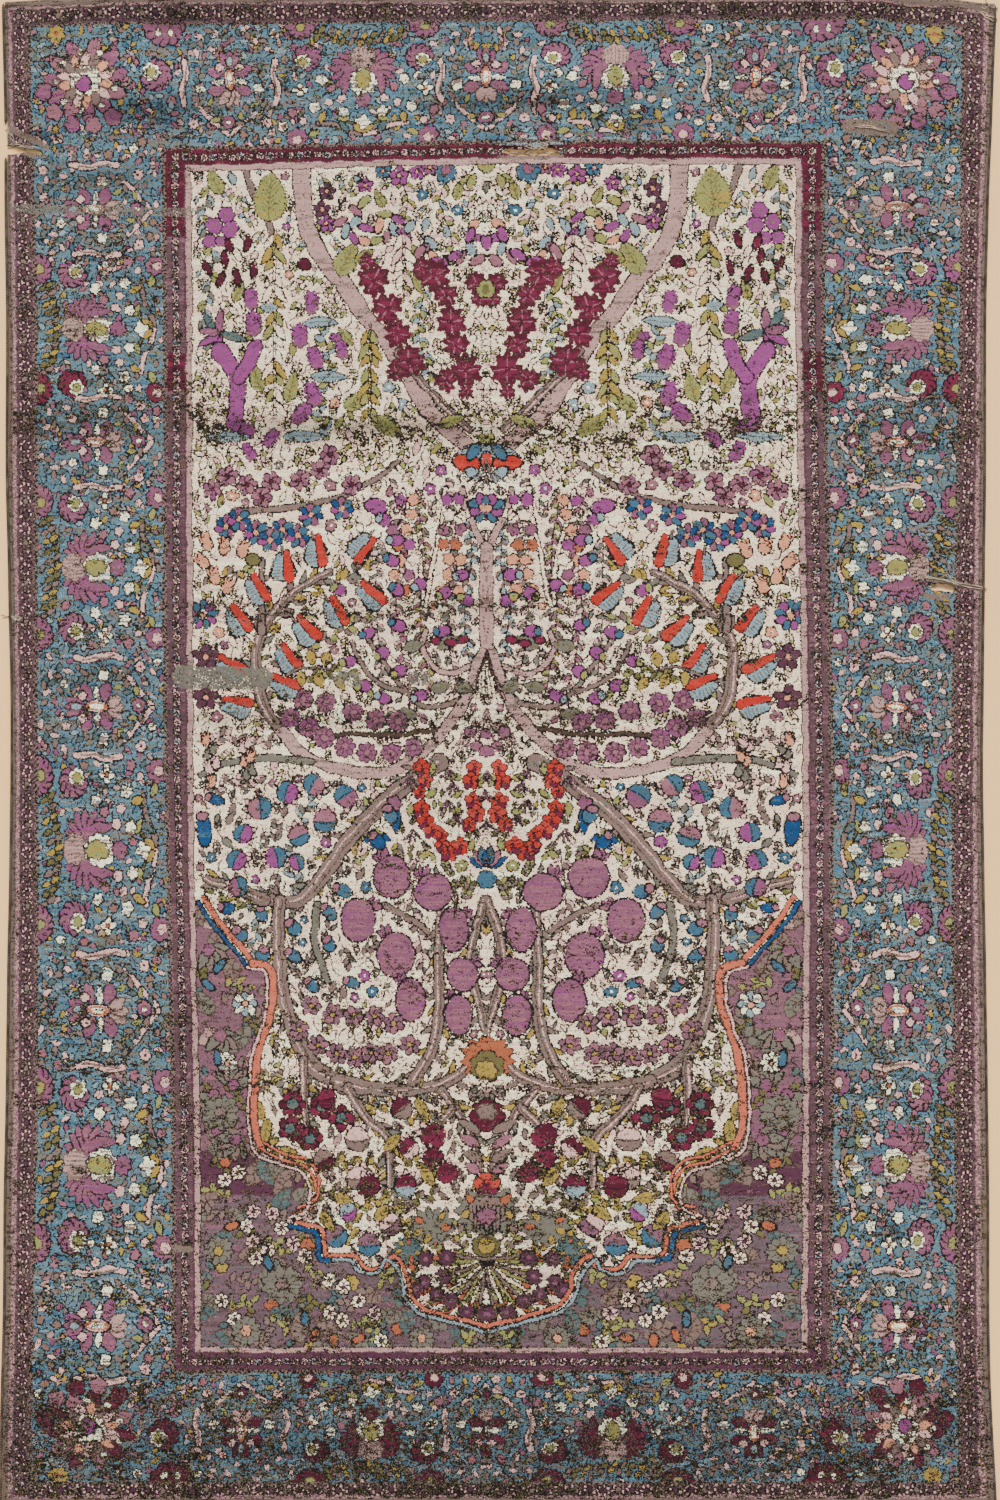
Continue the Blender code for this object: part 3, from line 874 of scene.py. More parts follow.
def middle_top(c):
    """The bird-shaped flower, the star and the trunk's fans on the middle line."""
    c.paint(470, 455, oval(17, 8, -0.45), "ice")
    c.paint(466, 463, oval(13, 7.5, 0.1), "flame")
    c.paint(474, 452, oval(9, 5, -0.9), "blue")
    c.paint(474, 474, oval(9, 5, 0.6), "ice")
    c.paint(486, 462, oval(5, 9), "coral")
    angles = [n * pi / 4 + pi / 8 for n in range(8)]
    wreath(c, 484, 508, 9.5, angles, lambda a: oval(5.4, 4, a), ("blue", "violet"))
    c.paint(484, 508, oval(3.6, 3.6), "peach")
    fan(c, 486, 462, 28, "dusty", 6, 1.5)
    c.paint(485, 646, box(4, 8), "pale_pink", 0)
    for n in range(9):
        y = 556 + n * 10
        c.line(((483 + n % 3, y), (484 + n % 3, y + 7)), ("dusty", "brown")[n % 2], 0.6)
    for n in range(5):
        c.line(((486, 650), (486 - 3 * n, 668 + 4 * n), (484 - 4 * n, 700)), ("ink", "brown")[n % 2], 0.8)
    for x, y, r in ((474, 740, 20), (486, 735, 24), (462, 752, 18)):
        fan(c, x, y - r, r, "pale_pink", 5, 1.1)
    n = 0
    for x in (397, 410, 446, 460):
        for y in range(500, 600, 15):
            n += 1
            dye = ("peach", "cream", "peach", "violet", "rust", "peach", "orchid")[(n * 5 + x) % 7]
            c.paint(x + 4 * sin(n * 1.7), y, spikes(6.2, 5, 0.3, n), dye, 0.8)
    for x, y, length, turn in (
        (438, 648, 24, -0.5), (404, 648, 20, -0.2), (432, 690, 20, -0.3), (456, 684, 18, 0.4), (400, 712, 18, 0.2),
    ):
        big_leaf(c, x, y, length, 13, turn, "grey_green")
    for x, y in ((451, 643), (463, 640), (436, 640)):
        c.paint(x, y, oval(5, 3.4), "crimson")
    for x, y in ((486, 734), (476, 746), (484, 752), (470, 732)):
        c.paint(x, y, petals(5.5, 5, 0.2), ("orchid", "sage")[x % 2], 0.8)


def left_middle(c):
    for x, y in (
        (213, 490), (247, 485), (272, 482), (300, 480), (330, 456), (352, 485), (320, 470), (262, 497), (228, 476),
        (303, 700), (326, 703), (353, 712), (376, 720), (398, 722), (291, 718), (309, 727), (324, 738), (345, 747),
        (367, 753), (392, 753), (413, 748),
    ):
        if y < 600:
            flower(c, x, y, 9.5, ("orchid", "rose"), "wine", 6, x)
        else:
            rosette(c, x, y, 10)
    for x, y in ((227, 527), (257, 533), (283, 530), (311, 515), (342, 508), (240, 520), (270, 540), (298, 536)):
        flower(c, x, y, 11, ("deep_blue", "orchid", "blue", "violet"), "peach", 7, 0.2)
    c.paint(376, 507, oval(11, 7, 0.2), "violet")
    flower(c, 203, 615, 14, ("blue", "violet"), "peach", 9)
    for x, y in ((206, 657), (206, 698)):
        flower(c, x, y, 12, ("plum",), "peach", 5)
        c.paint(x, y, oval(2.5, 2.5), "peach", 0)
    for x, y, turn in (
        (283, 566, 1.5), (316, 551, 1.35), (362, 547, 2.2), (257, 590, 1.0), (238, 621, 0.9), (370, 596, 0.7),
        (335, 612, 1.1), (305, 631, 0.8), (230, 668, 0.5), (288, 660, 0.9), (284, 686, 0.4), (236, 706, 0.2),
    ):
        bell(c, x, y, 31, 22, turn)
    for x, y, turn in (
        (207, 543, -2), (225, 547, -1.7), (243, 550, -1.3), (203, 562, -2.4), (215, 577, -1.9), (228, 587, -1.2),
    ):
        tulip(c, x, y, 7, turn)
    c.paint(253, 560, oval(7, 6), "olive")
    c.stem(((284, 676), (306, 668), (330, 670)), 1.6, "dusty", edge=0.6)
    for x, y, turn in ((310, 650, 1.3), (328, 652, 1.7), (301, 672, 1.5), (317, 674, 1.2), (336, 677, 1.0)):
        c.paint(x, y, leaf(15, 9, turn), "gold")
    for x, y in (
        (349, 661), (364, 686), (400, 672), (420, 696), (382, 653), (368, 633), (398, 590), (398, 625), (445, 593),
        (443, 631), (384, 698), (392, 560), (384, 520), (396, 540), (420, 585), (466, 600), (462, 575), (340, 590),
    ):
        bud(c, x, y, 7, 5.4, 0.6 * sin(x), "violet", ("ice", "sage", "blue")[x % 3])
    for n in range(12):
        x, y = 205 + (n * 37) % 72, 740 + (n * 53) % 46
        tulip(c, x, y, 5, -QUARTER + 0.4 * sin(n), ("peach", "blush", "grey_green")[n % 3])


def fruit_zone(c):
    for x, y, r in (
        (422, 768, 8), (425, 781, 7), (419, 792, 6), (421, 808, 8), (425, 821, 8), (432, 831, 8), (441, 836, 6),
        (474, 768, 7), (471, 781, 8), (474, 801, 8), (476, 814, 8), (468, 824, 7), (448, 852, 9), (460, 846, 8),
        (442, 846, 6),
    ):
        blossom(c, x, y, r, "flame" if (x + y) % 3 else "coral")
    for x, y in (
        (432, 774), (436, 790), (410, 803), (446, 822), (462, 778), (482, 786), (462, 812), (470, 850), (430, 852),
        (452, 796), (446, 776),
    ):
        c.paint(x, y, leaf(12, 6, x), ("sage", "olive")[x % 2])
    for x, y in (
        (448, 768), (452, 782), (447, 800), (455, 814), (486, 772), (486, 790), (486, 820), (408, 776), (412, 830),
    ):
        fan(c, x, y, 12, "mauve", 4, 1.4)
    c.paint(394, 804, leaf(30, 10, 1.5), "deep_blue")
    c.paint(394, 803, petals(7, 5, 0.3), "orchid")
    wreath(c, 376, 836, 0, steps(4, 0.8, 0.3), lambda a: leaf(14, 8, a), ("deep_blue",))
    c.paint(376, 835, petals(6, 5, 0.3), "sage")
    wreath(c, 486, 866, 0, steps(6, 0.45, -2.7), lambda a: leaf(20, 9, a), ("deep_blue", "rose", "blue"))
    c.paint(486, 880, petals(9, 6, 0.2), "blue")
    for x, y, turn, r in (
        (287, 792, 2.8, 11), (313, 785, 2.6, 11), (345, 796, 2.2, 12), (259, 808, 0.1, 12), (325, 821, -1.5, 12),
        (298, 836, -1.2, 11), (242, 833, 2.9, 10), (275, 857, 0.3, 11), (236, 860, 2.7, 10), (237, 887, 0.2, 10),
        (296, 862, 0.4, 8),
    ):
        berry(c, x, y, r * 0.95, -turn, "blue", ("orchid", "rose", "violet")[int(x) % 3])
    for x, y, a, b, turn in (
        (203, 830, 15, 7, 1.5), (390, 815, 8, 6, 1.2), (377, 841, 8, 6, 0.9), (342, 891, 8, 6, 0.4),
        (328, 912, 8, 5, 0.9), (292, 928, 8, 6, 0.8), (260, 915, 7, 5, 1.4), (238, 935, 7, 6, 0.9),
        (260, 955, 7, 6, 1.8), (292, 956, 8, 5, 0.7), (328, 945, 7, 6, 1.2), (225, 908, 7, 5, 0.2),
        (310, 985, 7, 5, 0.8), (350, 983, 7, 5, 0.4), (215, 800, 8, 5, 0.4),
    ):
        bud(c, x, y, a, b, turn, "deep_blue" if int(x) % 2 else "blue", "rose")
    for x, y, a, b in (
        (391, 877, 18, 20), (433, 892, 18, 18), (357, 920, 17, 21), (453, 929, 14, 21), (395, 955, 18, 22),
        (462, 974, 15, 16), (409, 1000, 15, 20), (458, 1015, 13, 20),
    ):
        pomegranate(c, x, y, a, b)
    for x, y in (
        (308, 1005), (330, 1014), (351, 1016), (373, 1016), (392, 1023), (315, 1045), (334, 1053), (352, 1057),
        (369, 1053), (386, 1053), (408, 1045), (296, 1030),
    ):
        flower(c, x, y, 9.6, ("mauve", "mauve", "rose"), "gold", 6, x)


# The arch above the spandrel: the outer line from the field's edge to the middle
ARCH = (
    (196, 902), (214, 930), (234, 953), (244, 967), (262, 973), (264, 1000), (258, 1026), (248, 1052), (244, 1090),
    (243, 1130), (250, 1152), (270, 1163), (292, 1169), (303, 1180), (306, 1198), (300, 1212), (284, 1217),
    (284, 1226), (300, 1229), (312, 1235), (315, 1257), (330, 1260), (347, 1260), (355, 1270), (366, 1273),
    (378, 1270), (385, 1260), (398, 1275), (404, 1299), (420, 1313), (450, 1322), (474, 1328), (488, 1336),
)


# Levels of the spandrel: where its lower ground starts, where its light leaves end, where its lowest ground starts
LOWER_GROUND, LIGHT_END, LOWEST_GROUND = 1150, 1160, 1195
# Column past every knot, for a row that the arch doesn't cross
NO_ARCH = 10**6


def spandrel(c, random):
    """Ground and leaves between the arch and the field's edge, and the arch's lines."""
    route = curve_points(ARCH)
    # The outer side of the arch, column by column and row by row
    rows = ((route[:, 1] - TOP) * PER_Y).astype(int)
    columns = ((route[:, 0] - LEFT) * PER_X).astype(int)
    low = np.full(KNOT_ROWS, NO_ARCH)
    np.minimum.at(low, np.clip(rows, 0, KNOT_ROWS - 1), columns)
    lowest = np.full(HALF_KNOTS, -1)
    np.maximum.at(lowest, np.clip(columns, 0, HALF_KNOTS - 1), rows)
    q, r = np.arange(HALF_KNOTS)[None, :], np.arange(KNOT_ROWS)[:, None]
    outside = (q < low[:, None]) & (low[:, None] < NO_ARCH)
    outside |= (r > lowest[None, :]) & (lowest[None, :] >= 0) & (r > (LOWER_GROUND - TOP) * PER_Y)
    outside &= c.within(FIELD)
    outside |= c.within((FIELD[0], LIGHT_END, FIELD[2])) & (q < int((200 - LEFT) * PER_X))
    c.open = outside
    level = TOP + np.broadcast_to(r, outside.shape) / PER_Y
    c.knots[outside] = DYE["mauve"]
    c.knots[outside & (level > LOWER_GROUND)] = DYE["plum"]
    c.knots[outside & (level > LOWEST_GROUND)] = DYE["ash"]
    spots = [(x, y) for y in range(925, 1348, 20) for x in range(200, 492, 21)]
    for n, (x, y) in enumerate(spots):
        x, y = x + random.uniform(-6, 6), y + random.uniform(-5, 5)
        turn = random.uniform(0, FULL)
        if n % 5 < 2:
            light, deep = ("dusty", "pale_pink", "grey_green")[n % 3], ("teal", "grey_green", "dusty")[n // 3 % 3]
            scales(c, x, y, random.uniform(9, 13), turn, light if y < LIGHT_END else deep)
        elif n % 5 < 4:
            route = ((x, y), around(x, y, 11, turn), around(x, y, 22, turn + 0.5))
            spray(c, route, (("olive", "dusty", "teal", "sage")[n % 4],), 10, 5.5, 6, "brown")
        elif n % 2:
            c.paint(x, y, petals(random.uniform(5, 8), 6, 0.25), ("rose", "rust", "plum", "gold")[n % 4], 0.8)
    for x, y, turn in (
        (215, 1035, 1.2), (228, 1085, -1.4), (212, 1130, 0.6), (230, 1140, 2.2), (208, 1095, 1.9), (206, 950, 1.0),
    ):
        angles = [turn + (k - 2) * 0.55 for k in range(5)]
        wreath(c, x, y, 0, angles, lambda a: leaf(21, 9, a), ("grey_green", "dusty"))
        c.paint(x, y, petals(6, 6, 0.2), "orchid", 0.7)
    for x, y in (
        (247, 1211), (267, 1213), (241, 1226), (276, 1228), (247, 1241), (288, 1243), (250, 1258), (262, 1250),
        (325, 1280), (340, 1286), (355, 1300), (371, 1313), (325, 1312), (338, 1320), (218, 1180), (232, 1172),
        (215, 1300), (228, 1318), (378, 1340), (300, 1256),
    ):
        flower(c, x, y, 6.6, ("blush" if y % 2 else "cream",), "plum", 7)
    flower(c, 241, 1004, 12, ("ice", "ivory"), "peach", 8)
    flower(c, 222, 1062, 10, ("ivory",), "peach", 8)
    for x, y, r in ((277, 1284, 22), (214, 1112, 20), (240, 1330, 16), (420, 1338, 14), (212, 1250, 16)):
        c.paint(x, y, spikes(r, 11, 0.22, x, 0.9), "grey_green", 0.8)
        for angle in steps(9, 0.698):
            c.line((around(x, y, r * 0.3, angle), around(x, y, r * 0.8, angle, r * 0.7)), "brown", 0.6)
        c.paint(x, y, petals(r * 0.3, 6, 0.2), ("peach", "dusty", "gold")[x % 3], 0.7)
    for x, y in ((205, 985), (216, 966), (212, 1058), (300, 1318), (262, 1262)):
        c.paint(x, y, oval(7, 3.4, x), "blue")
    for x, y in ((310, 1334), (330, 1340), (355, 1338), (225, 1225)):
        c.paint(x, y, oval(6, 3.6, y), "rust")
    c.open = c.within(FIELD)
    inner = [(x + 6, y - 4) for x, y in ARCH]
    c.stem(inner[:4], 5, "coral_band", edge=0.7)
    c.stem(inner[3:11], 7, "coral_band", end_width=6, rim="brown")
    c.stem(inner[10:17], 2.4, "coral_band", edge=0.7)
    c.stem([(x + 3, y - 6) for x, y in inner[10:17]], 2.4, "coral_band", edge=0.7)
    c.stem(inner[17:], 3.6, "coral_band", edge=0.8)
    c.stem(ARCH[:4], 3.0, "deep_blue")
    c.stem(ARCH[3:18], 2.2, "blush")
    c.stem(ARCH[17:22], 4.0, "deep_blue")
    c.stem(ARCH[21:], 2.6, "ice")


def lower_garden(c):
    for x, y, count in ((288, 1104, 6), (318, 1106, 5), (305, 1138, 6), (286, 1128, 5), (338, 1118, 4)):
        wreath(c, x, y, 8, [n * 6.283 / count for n in range(count)], lambda a: oval(4.8, 4.6), ("crimson", "wine"))
        c.paint(x, y, petals(5, 5, 0.2), "teal")
    for x, y, r, one, other in (
        (354, 1139, 12, "dusty", "blush"), (354, 1178, 11, "dusty", "blush"), (366, 1186, 11, "wine", "wine"),
        (407, 1148, 10, "blush", "wine"), (404, 1186, 11, "ice", "wine"), (432, 1136, 12, "crimson", "wine"),
        (432, 1158, 10, "crimson", "wine"), (332, 1236, 11, "blue", "mauve"), (366, 1244, 11, "blue", "mauve"),
        (388, 1224, 11, "mauve", "blush"), (345, 1212, 9, "violet", "ice"), (323, 1098, 10, "wine", "crimson"),
        (400, 1108, 11, "dusty", "wine"), (446, 1172, 10, "crimson", "wine"), (320, 1160, 10, "wine", "dusty"),
    ):
        berry(c, x, y, r, 1.2 + 0.4 * sin(x), one, other)
    for x, y, length, turn in (
        (318, 1212, 22, 1.0), (300, 1178, 24, 0.6), (262, 1120, 26, 1.7), (416, 1098, 24, 1.2), (382, 1150, 22, -0.8),
        (330, 1196, 20, 0.2), (386, 1206, 20, 2.4), (420, 1168, 22, 0.9), (250, 1100, 22, 1.2), (275, 1150, 20, 0.3),
    ):
        big_leaf(c, x, y, length, 12, turn, "gold")
    c.paint(484, 1058, spikes(25, 11, 0.25, 0.1, 0.9), "rust")
    c.paint(484, 1066, petals(15, 7, 0.2), "olive")
    c.paint(484, 1070, petals(9, 6, 0.2), "gold", rim="brown")
    c.paint(484, 1115, petals(15, 8, 0.18), "wine")
    c.paint(484, 1112, petals(8, 6, 0.2), "dusty", rim="brown")
    for n, y in enumerate((1132, 1146, 1160, 1172)):
        c.paint(480, y, leaf(26 - n * 3, 9, pi + 0.5), ("dusty", "rose")[n % 2])
    for x, y, r, dye in (
        (484, 1210, 31, "grey_green"), (430, 1226, 24, "grey_green"), (406, 1250, 17, "teal"),
        (456, 1262, 15, "sage"),
    ):
        c.paint(x, y, spikes(r, 13, 0.24, 0.2, 0.85), dye)
        angles, dyes = [n * 0.9 + x for n in range(7)], ("gold", "rust", dye)
        wreath(c, x, y, r * 0.42, angles, lambda a: leaf(r * 0.4, r * 0.24, a), dyes, 0.6, down=r * 0.36)
    blossom(c, 484, 1184, 10)
    c.paint(484, 1212, petals(17, 9, 0.16), "dusty")
    for n in range(-3, 4):
        c.line(((484 + n * 4, 1204 + abs(n)), (484 + n * 3.4, 1230)), "umber", 0.9)
    c.paint(484, 1216, petals(8, 7, 0.2), "orchid")
    c.paint(484, 1246, petals(12, 7, 0.2), "olive")
    c.paint(484, 1245, oval(5, 7), "gold", rim="brown")
    for n, angle in enumerate(steps(11, 0.19, 1.5)):
        end = around(486, 1262, 46, angle, 42)
        route = ((486, 1258), ((486 + end[0]) / 2, (1264 + end[1]) / 2), end)
        c.stem(route, 2.2, ("sage", "dusty", "cream")[n % 3], edge=0.7)
    for x, y in (
        (446, 1258), (442, 1276), (436, 1294), (450, 1300), (466, 1312), (484, 1314), (424, 1258), (422, 1282),
        (414, 1290),
    ):
        floret(c, x, y, 8, ("plum", "mauve")[x % 2], "orchid", 8)


# Filling of the ground, by part of the field: left, top, right, bottom, share left open, dyes of leaves, of florets
ZONES = (
    (190, 160, 490, 270, 0.1, ("cream", "sage", "cream", "ice", "blush"), ("violet", "rose", "blue", "blush")),
    (190, 270, 340, 470, 0.3, ("cream", "sage", "cream", "blush"), ("peach", "dusty", "cream")),
    (340, 270, 490, 470, 0.15, ("cream", "blush", "cream", "sage"), ("cream", "blush", "ice")),
    (190, 470, 380, 640, 0.5, ("cream", "blush", "sage", "cream"), ("rose", "peach", "orchid")),
    (380, 470, 490, 760, 0.0, ("cream", "blush", "dusty", "cream", "grey_green"), ("violet", "peach", "rose")),
    (190, 640, 380, 780, 0.3, ("cream", "sage", "cream", "blush"), ("peach", "orchid", "rose")),
    (190, 780, 380, 1000, 0.35, ("dusty", "grey_green", "cream", "dusty"), ("blue", "rose", "violet")),
    (380, 760, 490, 900, 0.0, ("olive", "sage", "dusty", "grey_green"), ("blue", "violet", "sage")),
    (380, 900, 490, 1050, 0.6, ("cream", "grey_green", "dusty"), ("plum", "violet", "rose")),
    (190, 1000, 490, 1080, 0.35, ("cream", "dusty", "sage"), ("rose", "orchid", "dusty")),
    (190, 1080, 490, 1200, 0.25, ("pale_pink", "dusty", "dusty", "grey_green"), ("crimson", "dusty", "rose")),
    (190, 1200, 490, 1350, 0.0, ("olive", "dusty", "pale_pink", "dusty", "grey_green"), (
        "crimson", "rust", "rose", "plum",
    )),
)


# Passes over the ground, each with smaller leaves: places tried, size of a leaf
FILLINGS = ((7000, 7.5), (9000, 5.2), (9000, 3.6))
BORDER_TRIES = 15000


def fill_ground(c, random, tries, size):
    """Twigs, leaves, florets and thin vines on what is left of the cream ground."""
    grounds = [DYE["cream"]]
    c.open = c.within(FIELD) & (c.knots == grounds[0])
    rows, columns = np.nonzero(c.open)
    keep = random.permutation(len(rows))[:tries]
    for r, q in zip(rows[keep], columns[keep]):
        x, y = c.xs[q], c.ys[r]
        left_out, leaves, florets = ZONES[-1][4:]
        for left, top, right, bottom, share, leaf_dyes, floret_dyes in ZONES:
            if left <= x < right and top <= y < bottom:
                left_out, leaves, florets = share, leaf_dyes, floret_dyes
                break
        turn = random.uniform(-0.7, 0.7) + (QUARTER if random.randint(0, 2) else -QUARTER)
        kind = random.randint(0, 12)
        if not c.bare(x, y, size, grounds) or random.uniform() < left_out:
            continue
        if kind < 2 and size > 4:
            floret(c, x, y, size * 0.75, florets[random.randint(0, len(florets))], "ivory", 5, turn)
        elif kind < 7:
            twiglet(c, *around(x, y, -size, turn), size * 1.5, turn, random.permutation(leaves), random)
        elif kind < 10:
            c.paint(x, y, leaf(size * 1.8, size * 0.8, turn), leaves[random.randint(0, len(leaves))], 0.75)
            c.line(((x, y), around(x, y, -size * 0.8, turn)), "ink", 0.7)
        else:
            vine(c, x, y, size, turn, 0.4, ("ink", "umber", "brown")[kind % 3], 0.8)


def draw_field(c, random):
    c.open = c.within(FIELD)
    c.knots[c.open] = DYE["cream"]
    draw_twigs(c)
    draw_branches(c)
    top_foliage(c)
    iris_group(c)
    wine_clusters(c)
    middle_top(c)
    left_middle(c)
    fruit_zone(c)
    lower_garden(c)
    for tries, size in FILLINGS:
        fill_ground(c, random, tries, size)
    spandrel(c, random)


# From the cartoon to the woven rug

# Lines of the frame as they lie on the worn rug, in squares across the photographed view, by row:
# row, then pile edge, border, inner guard and field of the left side, and the same of the right
LINE_ROWS = (
    (0, 11, 30, 160, 191, 984, 962, 826, 795),
    (100, 13, 32, 161, 192, 981, 960, 826, 795),
    (300, 16, 38, 163, 193, 977, 960, 825, 794),
    (700, 19, 38, 163, 194, 973, 951, 833, 801),
    (900, 20, 39, 167, 196, 973, 951, 834, 802),
    (1100, 19, 38, 171, 201, 974, 953, 834, 802),
    (1350, 15, 33, 172, 202, 976, 956, 832, 800),
    (1500, 13, 31, 166, 200, 978, 958, 830, 798),
)
# How far the top guard and the top of the field lie down or up there: column, at the guard, at the field
TOP_SHIFTS = (
    (0, 3, 4), (100, -2, 5), (200, -2, 6), (480, -4, -1), (700, -6, -1), (880, -7, 1), (900, -2, 1), (950, 1, 2),
    (1000, 13, 2),
)
TOP_SHIFT_END = 400
VIEW_MIDDLE = (498.5, 750.0)
SQUARE = 1.35 * MM

KNOTS_ACROSS, KNOTS_DOWN = 8, 6
FACES_ACROSS, FACES_DOWN = 2 * HALF_KNOTS // KNOTS_ACROSS, KNOT_ROWS // KNOTS_DOWN


def to_world(u, v):
    """Place on the floor of a column and row of the view, in metres."""
    return (u - VIEW_MIDDLE[0]) * SQUARE, (VIEW_MIDDLE[1] - v) * SQUARE


# Height above the floor, in metres, from which the cloth's top is felt for
PROBE_HEIGHT = 0.2


class CadSheet:
    """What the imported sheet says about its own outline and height."""

    def __init__(self, node):
        mesh = node.data
        self.points = np.empty((len(mesh.vertices), 3))
        mesh.vertices.foreach_get("co", self.points.ravel())
        edges = np.empty((len(mesh.edges), 2), int)
        mesh.edges.foreach_get("vertices", edges.ravel())
        self.ends = self.points[edges]
        faces = [tuple(face.vertices) for face in mesh.polygons]
        self.tree = BVHTree.FromPolygons([tuple(p) for p in self.points], faces)

    def span(self, axis, place):
        """Lowest and highest place on the other axis where the outline crosses a line."""
        a, b = self.ends[:, 0], self.ends[:, 1]
        cross = (a[:, axis] - place) * (b[:, axis] - place) <= 0
        a, b = a[cross], b[cross]
        run = b[:, axis] - a[:, axis]
        share = np.where(np.abs(run) > 1e-9, (place - a[:, axis]) / np.where(run == 0, 1, run), 0.0)
        other = a[:, 1 - axis] + share * (b[:, 1 - axis] - a[:, 1 - axis])
        return other.min(), other.max()

    def side(self, y, which):
        """X of the left (0) or right (1) edge, past any notch in it."""
        low, high = self.points[:, 1].min() + 1e-4, self.points[:, 1].max() - 13 * MM
        near = [self.span(1, min(max(y + step * MM, low), high))[which] for step in (-24, 0, 24)]
        return min(near) if which == 0 else max(near)

    def end(self, x, which):
        low, high = self.points[:, 0].min() + 0.6 * MM, self.points[:, 0].max() - 0.6 * MM
        return self.span(0, min(max(x, low), high))[which]

    def top(self, x, y):
        hit = self.tree.ray_cast(Vector((x, y, PROBE_HEIGHT)), Vector((0, 0, -1)))[0]
        return hit.z if hit else nan


def blurred(field, sigma):
    """Smoothed copy of a two-way table of numbers."""
    reach = max(1, int(sigma * 3))
    weights = np.exp(-0.5 * (np.arange(-reach, reach + 1) / sigma) ** 2)
    weights /= weights.sum()
    for axis in (0, 1):
        pads = [(reach, reach) if n == axis else (0, 0) for n in (0, 1)]
        padded = np.pad(field, pads, mode="edge")
        field = sum(w * np.take(padded, range(n, n + field.shape[axis]), axis) for n, w in enumerate(weights))
    return field


def filled(field):
    """Copy with each missing number taken from its neighbours."""
    while np.isnan(field).any():
        padded = np.pad(field, 1, mode="edge")
        near = np.stack([padded[:-2, 1:-1], padded[2:, 1:-1], padded[1:-1, :-2], padded[1:-1, 2:]])
        count = (~np.isnan(near)).sum(0)
        mean = np.nansum(near, 0) / np.maximum(count, 1)
        field = np.where(np.isnan(field) & (count > 0), mean, field)
    return field


def cartoon_grid():
    """Rows of the sheet's grid, share of the way across and place on the cartoon of each of its columns."""
    rows = TOP + np.arange(FACES_DOWN + 1) * KNOTS_DOWN / PER_Y
    shares = np.arange(FACES_ACROSS + 1) * 2 / FACES_ACROSS
    return rows, shares, LEFT + np.where(shares <= 1, shares, 2 - shares) * (MIDDLE - LEFT)


def sheet_grid(cad):
    """X and Y of the sheet's grid of points, row by row from the top end."""
    rows, shares, cartoon = cartoon_grid()
    across = np.where(shares <= 1, cartoon, 2 * MIDDLE - cartoon)
    table = np.array(LINE_ROWS, float)
    lines = [LEFT, PILE_EDGE[0], BORDER_OUT[0], BORDER_IN[0], FIELD[0], MIDDLE]
    stations = lines + [2 * MIDDLE - line for line in lines[-2::-1]]
    shifts = np.array(TOP_SHIFTS, float)
    xs, ys = [], []
    for row in rows:
        left = [np.interp(row, table[:, 0], table[:, n]) for n in (1, 2, 3, 4)]
        right = [np.interp(row, table[:, 0], table[:, n]) for n in (8, 7, 6, 5)]
        y0 = to_world(0, row)[1]
        edges = [cad.side(y0, n) / SQUARE + VIEW_MIDDLE[0] for n in (0, 1)]
        u = np.interp(across, stations, [edges[0], *left, MIDDLE, *right, edges[1]])
        guard = np.interp(u, shifts[:, 0], shifts[:, 1])
        field = np.interp(u, shifts[:, 0], shifts[:, 2])
        shift = [np.interp(row, (PILE_EDGE[1], FIELD[1], TOP_SHIFT_END), (g, f, 0)) for g, f in zip(guard, field)]
        x, y = to_world(u, row + np.array(shift))
        xs.append(x)
        ys.append(y)
    xs, ys = np.array(xs), np.array(ys)
    top = np.array([cad.end(x, 1) for x in xs[0]])
    bottom = np.array([cad.end(x, 0) for x in xs[-1]])
    pile_row = int((PILE_EDGE[1] - TOP) * PER_Y / KNOTS_DOWN) + 1
    for n in range(pile_row):
        ys[n] = top + (ys[pile_row] - top) * n / pile_row
    last = int((PILE_EDGE[2] - TOP) * PER_Y / KNOTS_DOWN)
    for n in range(last + 1, FACES_DOWN + 1):
        share = (n - last) / (FACES_DOWN - last)
        ys[n] = ys[last] + (bottom - ys[last]) * share
    return xs, ys


def between(table, r, q, a, b):
    """Numbers between the points of a table: row and column of the point before, and the shares of the way on."""
    r, q, a, b = r[:, None], q[None, :], a[:, None], b[None, :]
    return (
        table[r, q] * (1 - a) * (1 - b) + table[r + 1, q] * a * (1 - b)
        + table[r, q + 1] * (1 - a) * b + table[r + 1, q + 1] * a * b
    )


def knot_places(grid):
    """The same grid, read at the middle of every knot."""
    rows = (np.arange(KNOT_ROWS) + 0.5) / KNOTS_DOWN
    columns = (np.arange(2 * HALF_KNOTS) + 0.5) / KNOTS_ACROSS
    r, q = rows.astype(int), columns.astype(int)
    return between(grid, r, q, rows - r, columns - q)


def wavy(shape, cell, random):
    """Smooth noise from -1 to 1 over a table, with hills about one cell wide."""
    coarse = random.uniform(-1, 1, (shape[0] // cell[0] + 3, shape[1] // cell[1] + 3))
    rows, columns = np.arange(shape[0]) / cell[0], np.arange(shape[1]) / cell[1]
    r, q = rows.astype(int), columns.astype(int)
    a, b = rows - r, columns - q
    return between(coarse, r, q, a * a * (3 - 2 * a), b * b * (3 - 2 * b))


def picked(mask, names, random):
    """A dye drawn for each true place of a mask."""
    return np.array([DYE[n] for n in names])[random.randint(0, len(names), int(mask.sum()))]


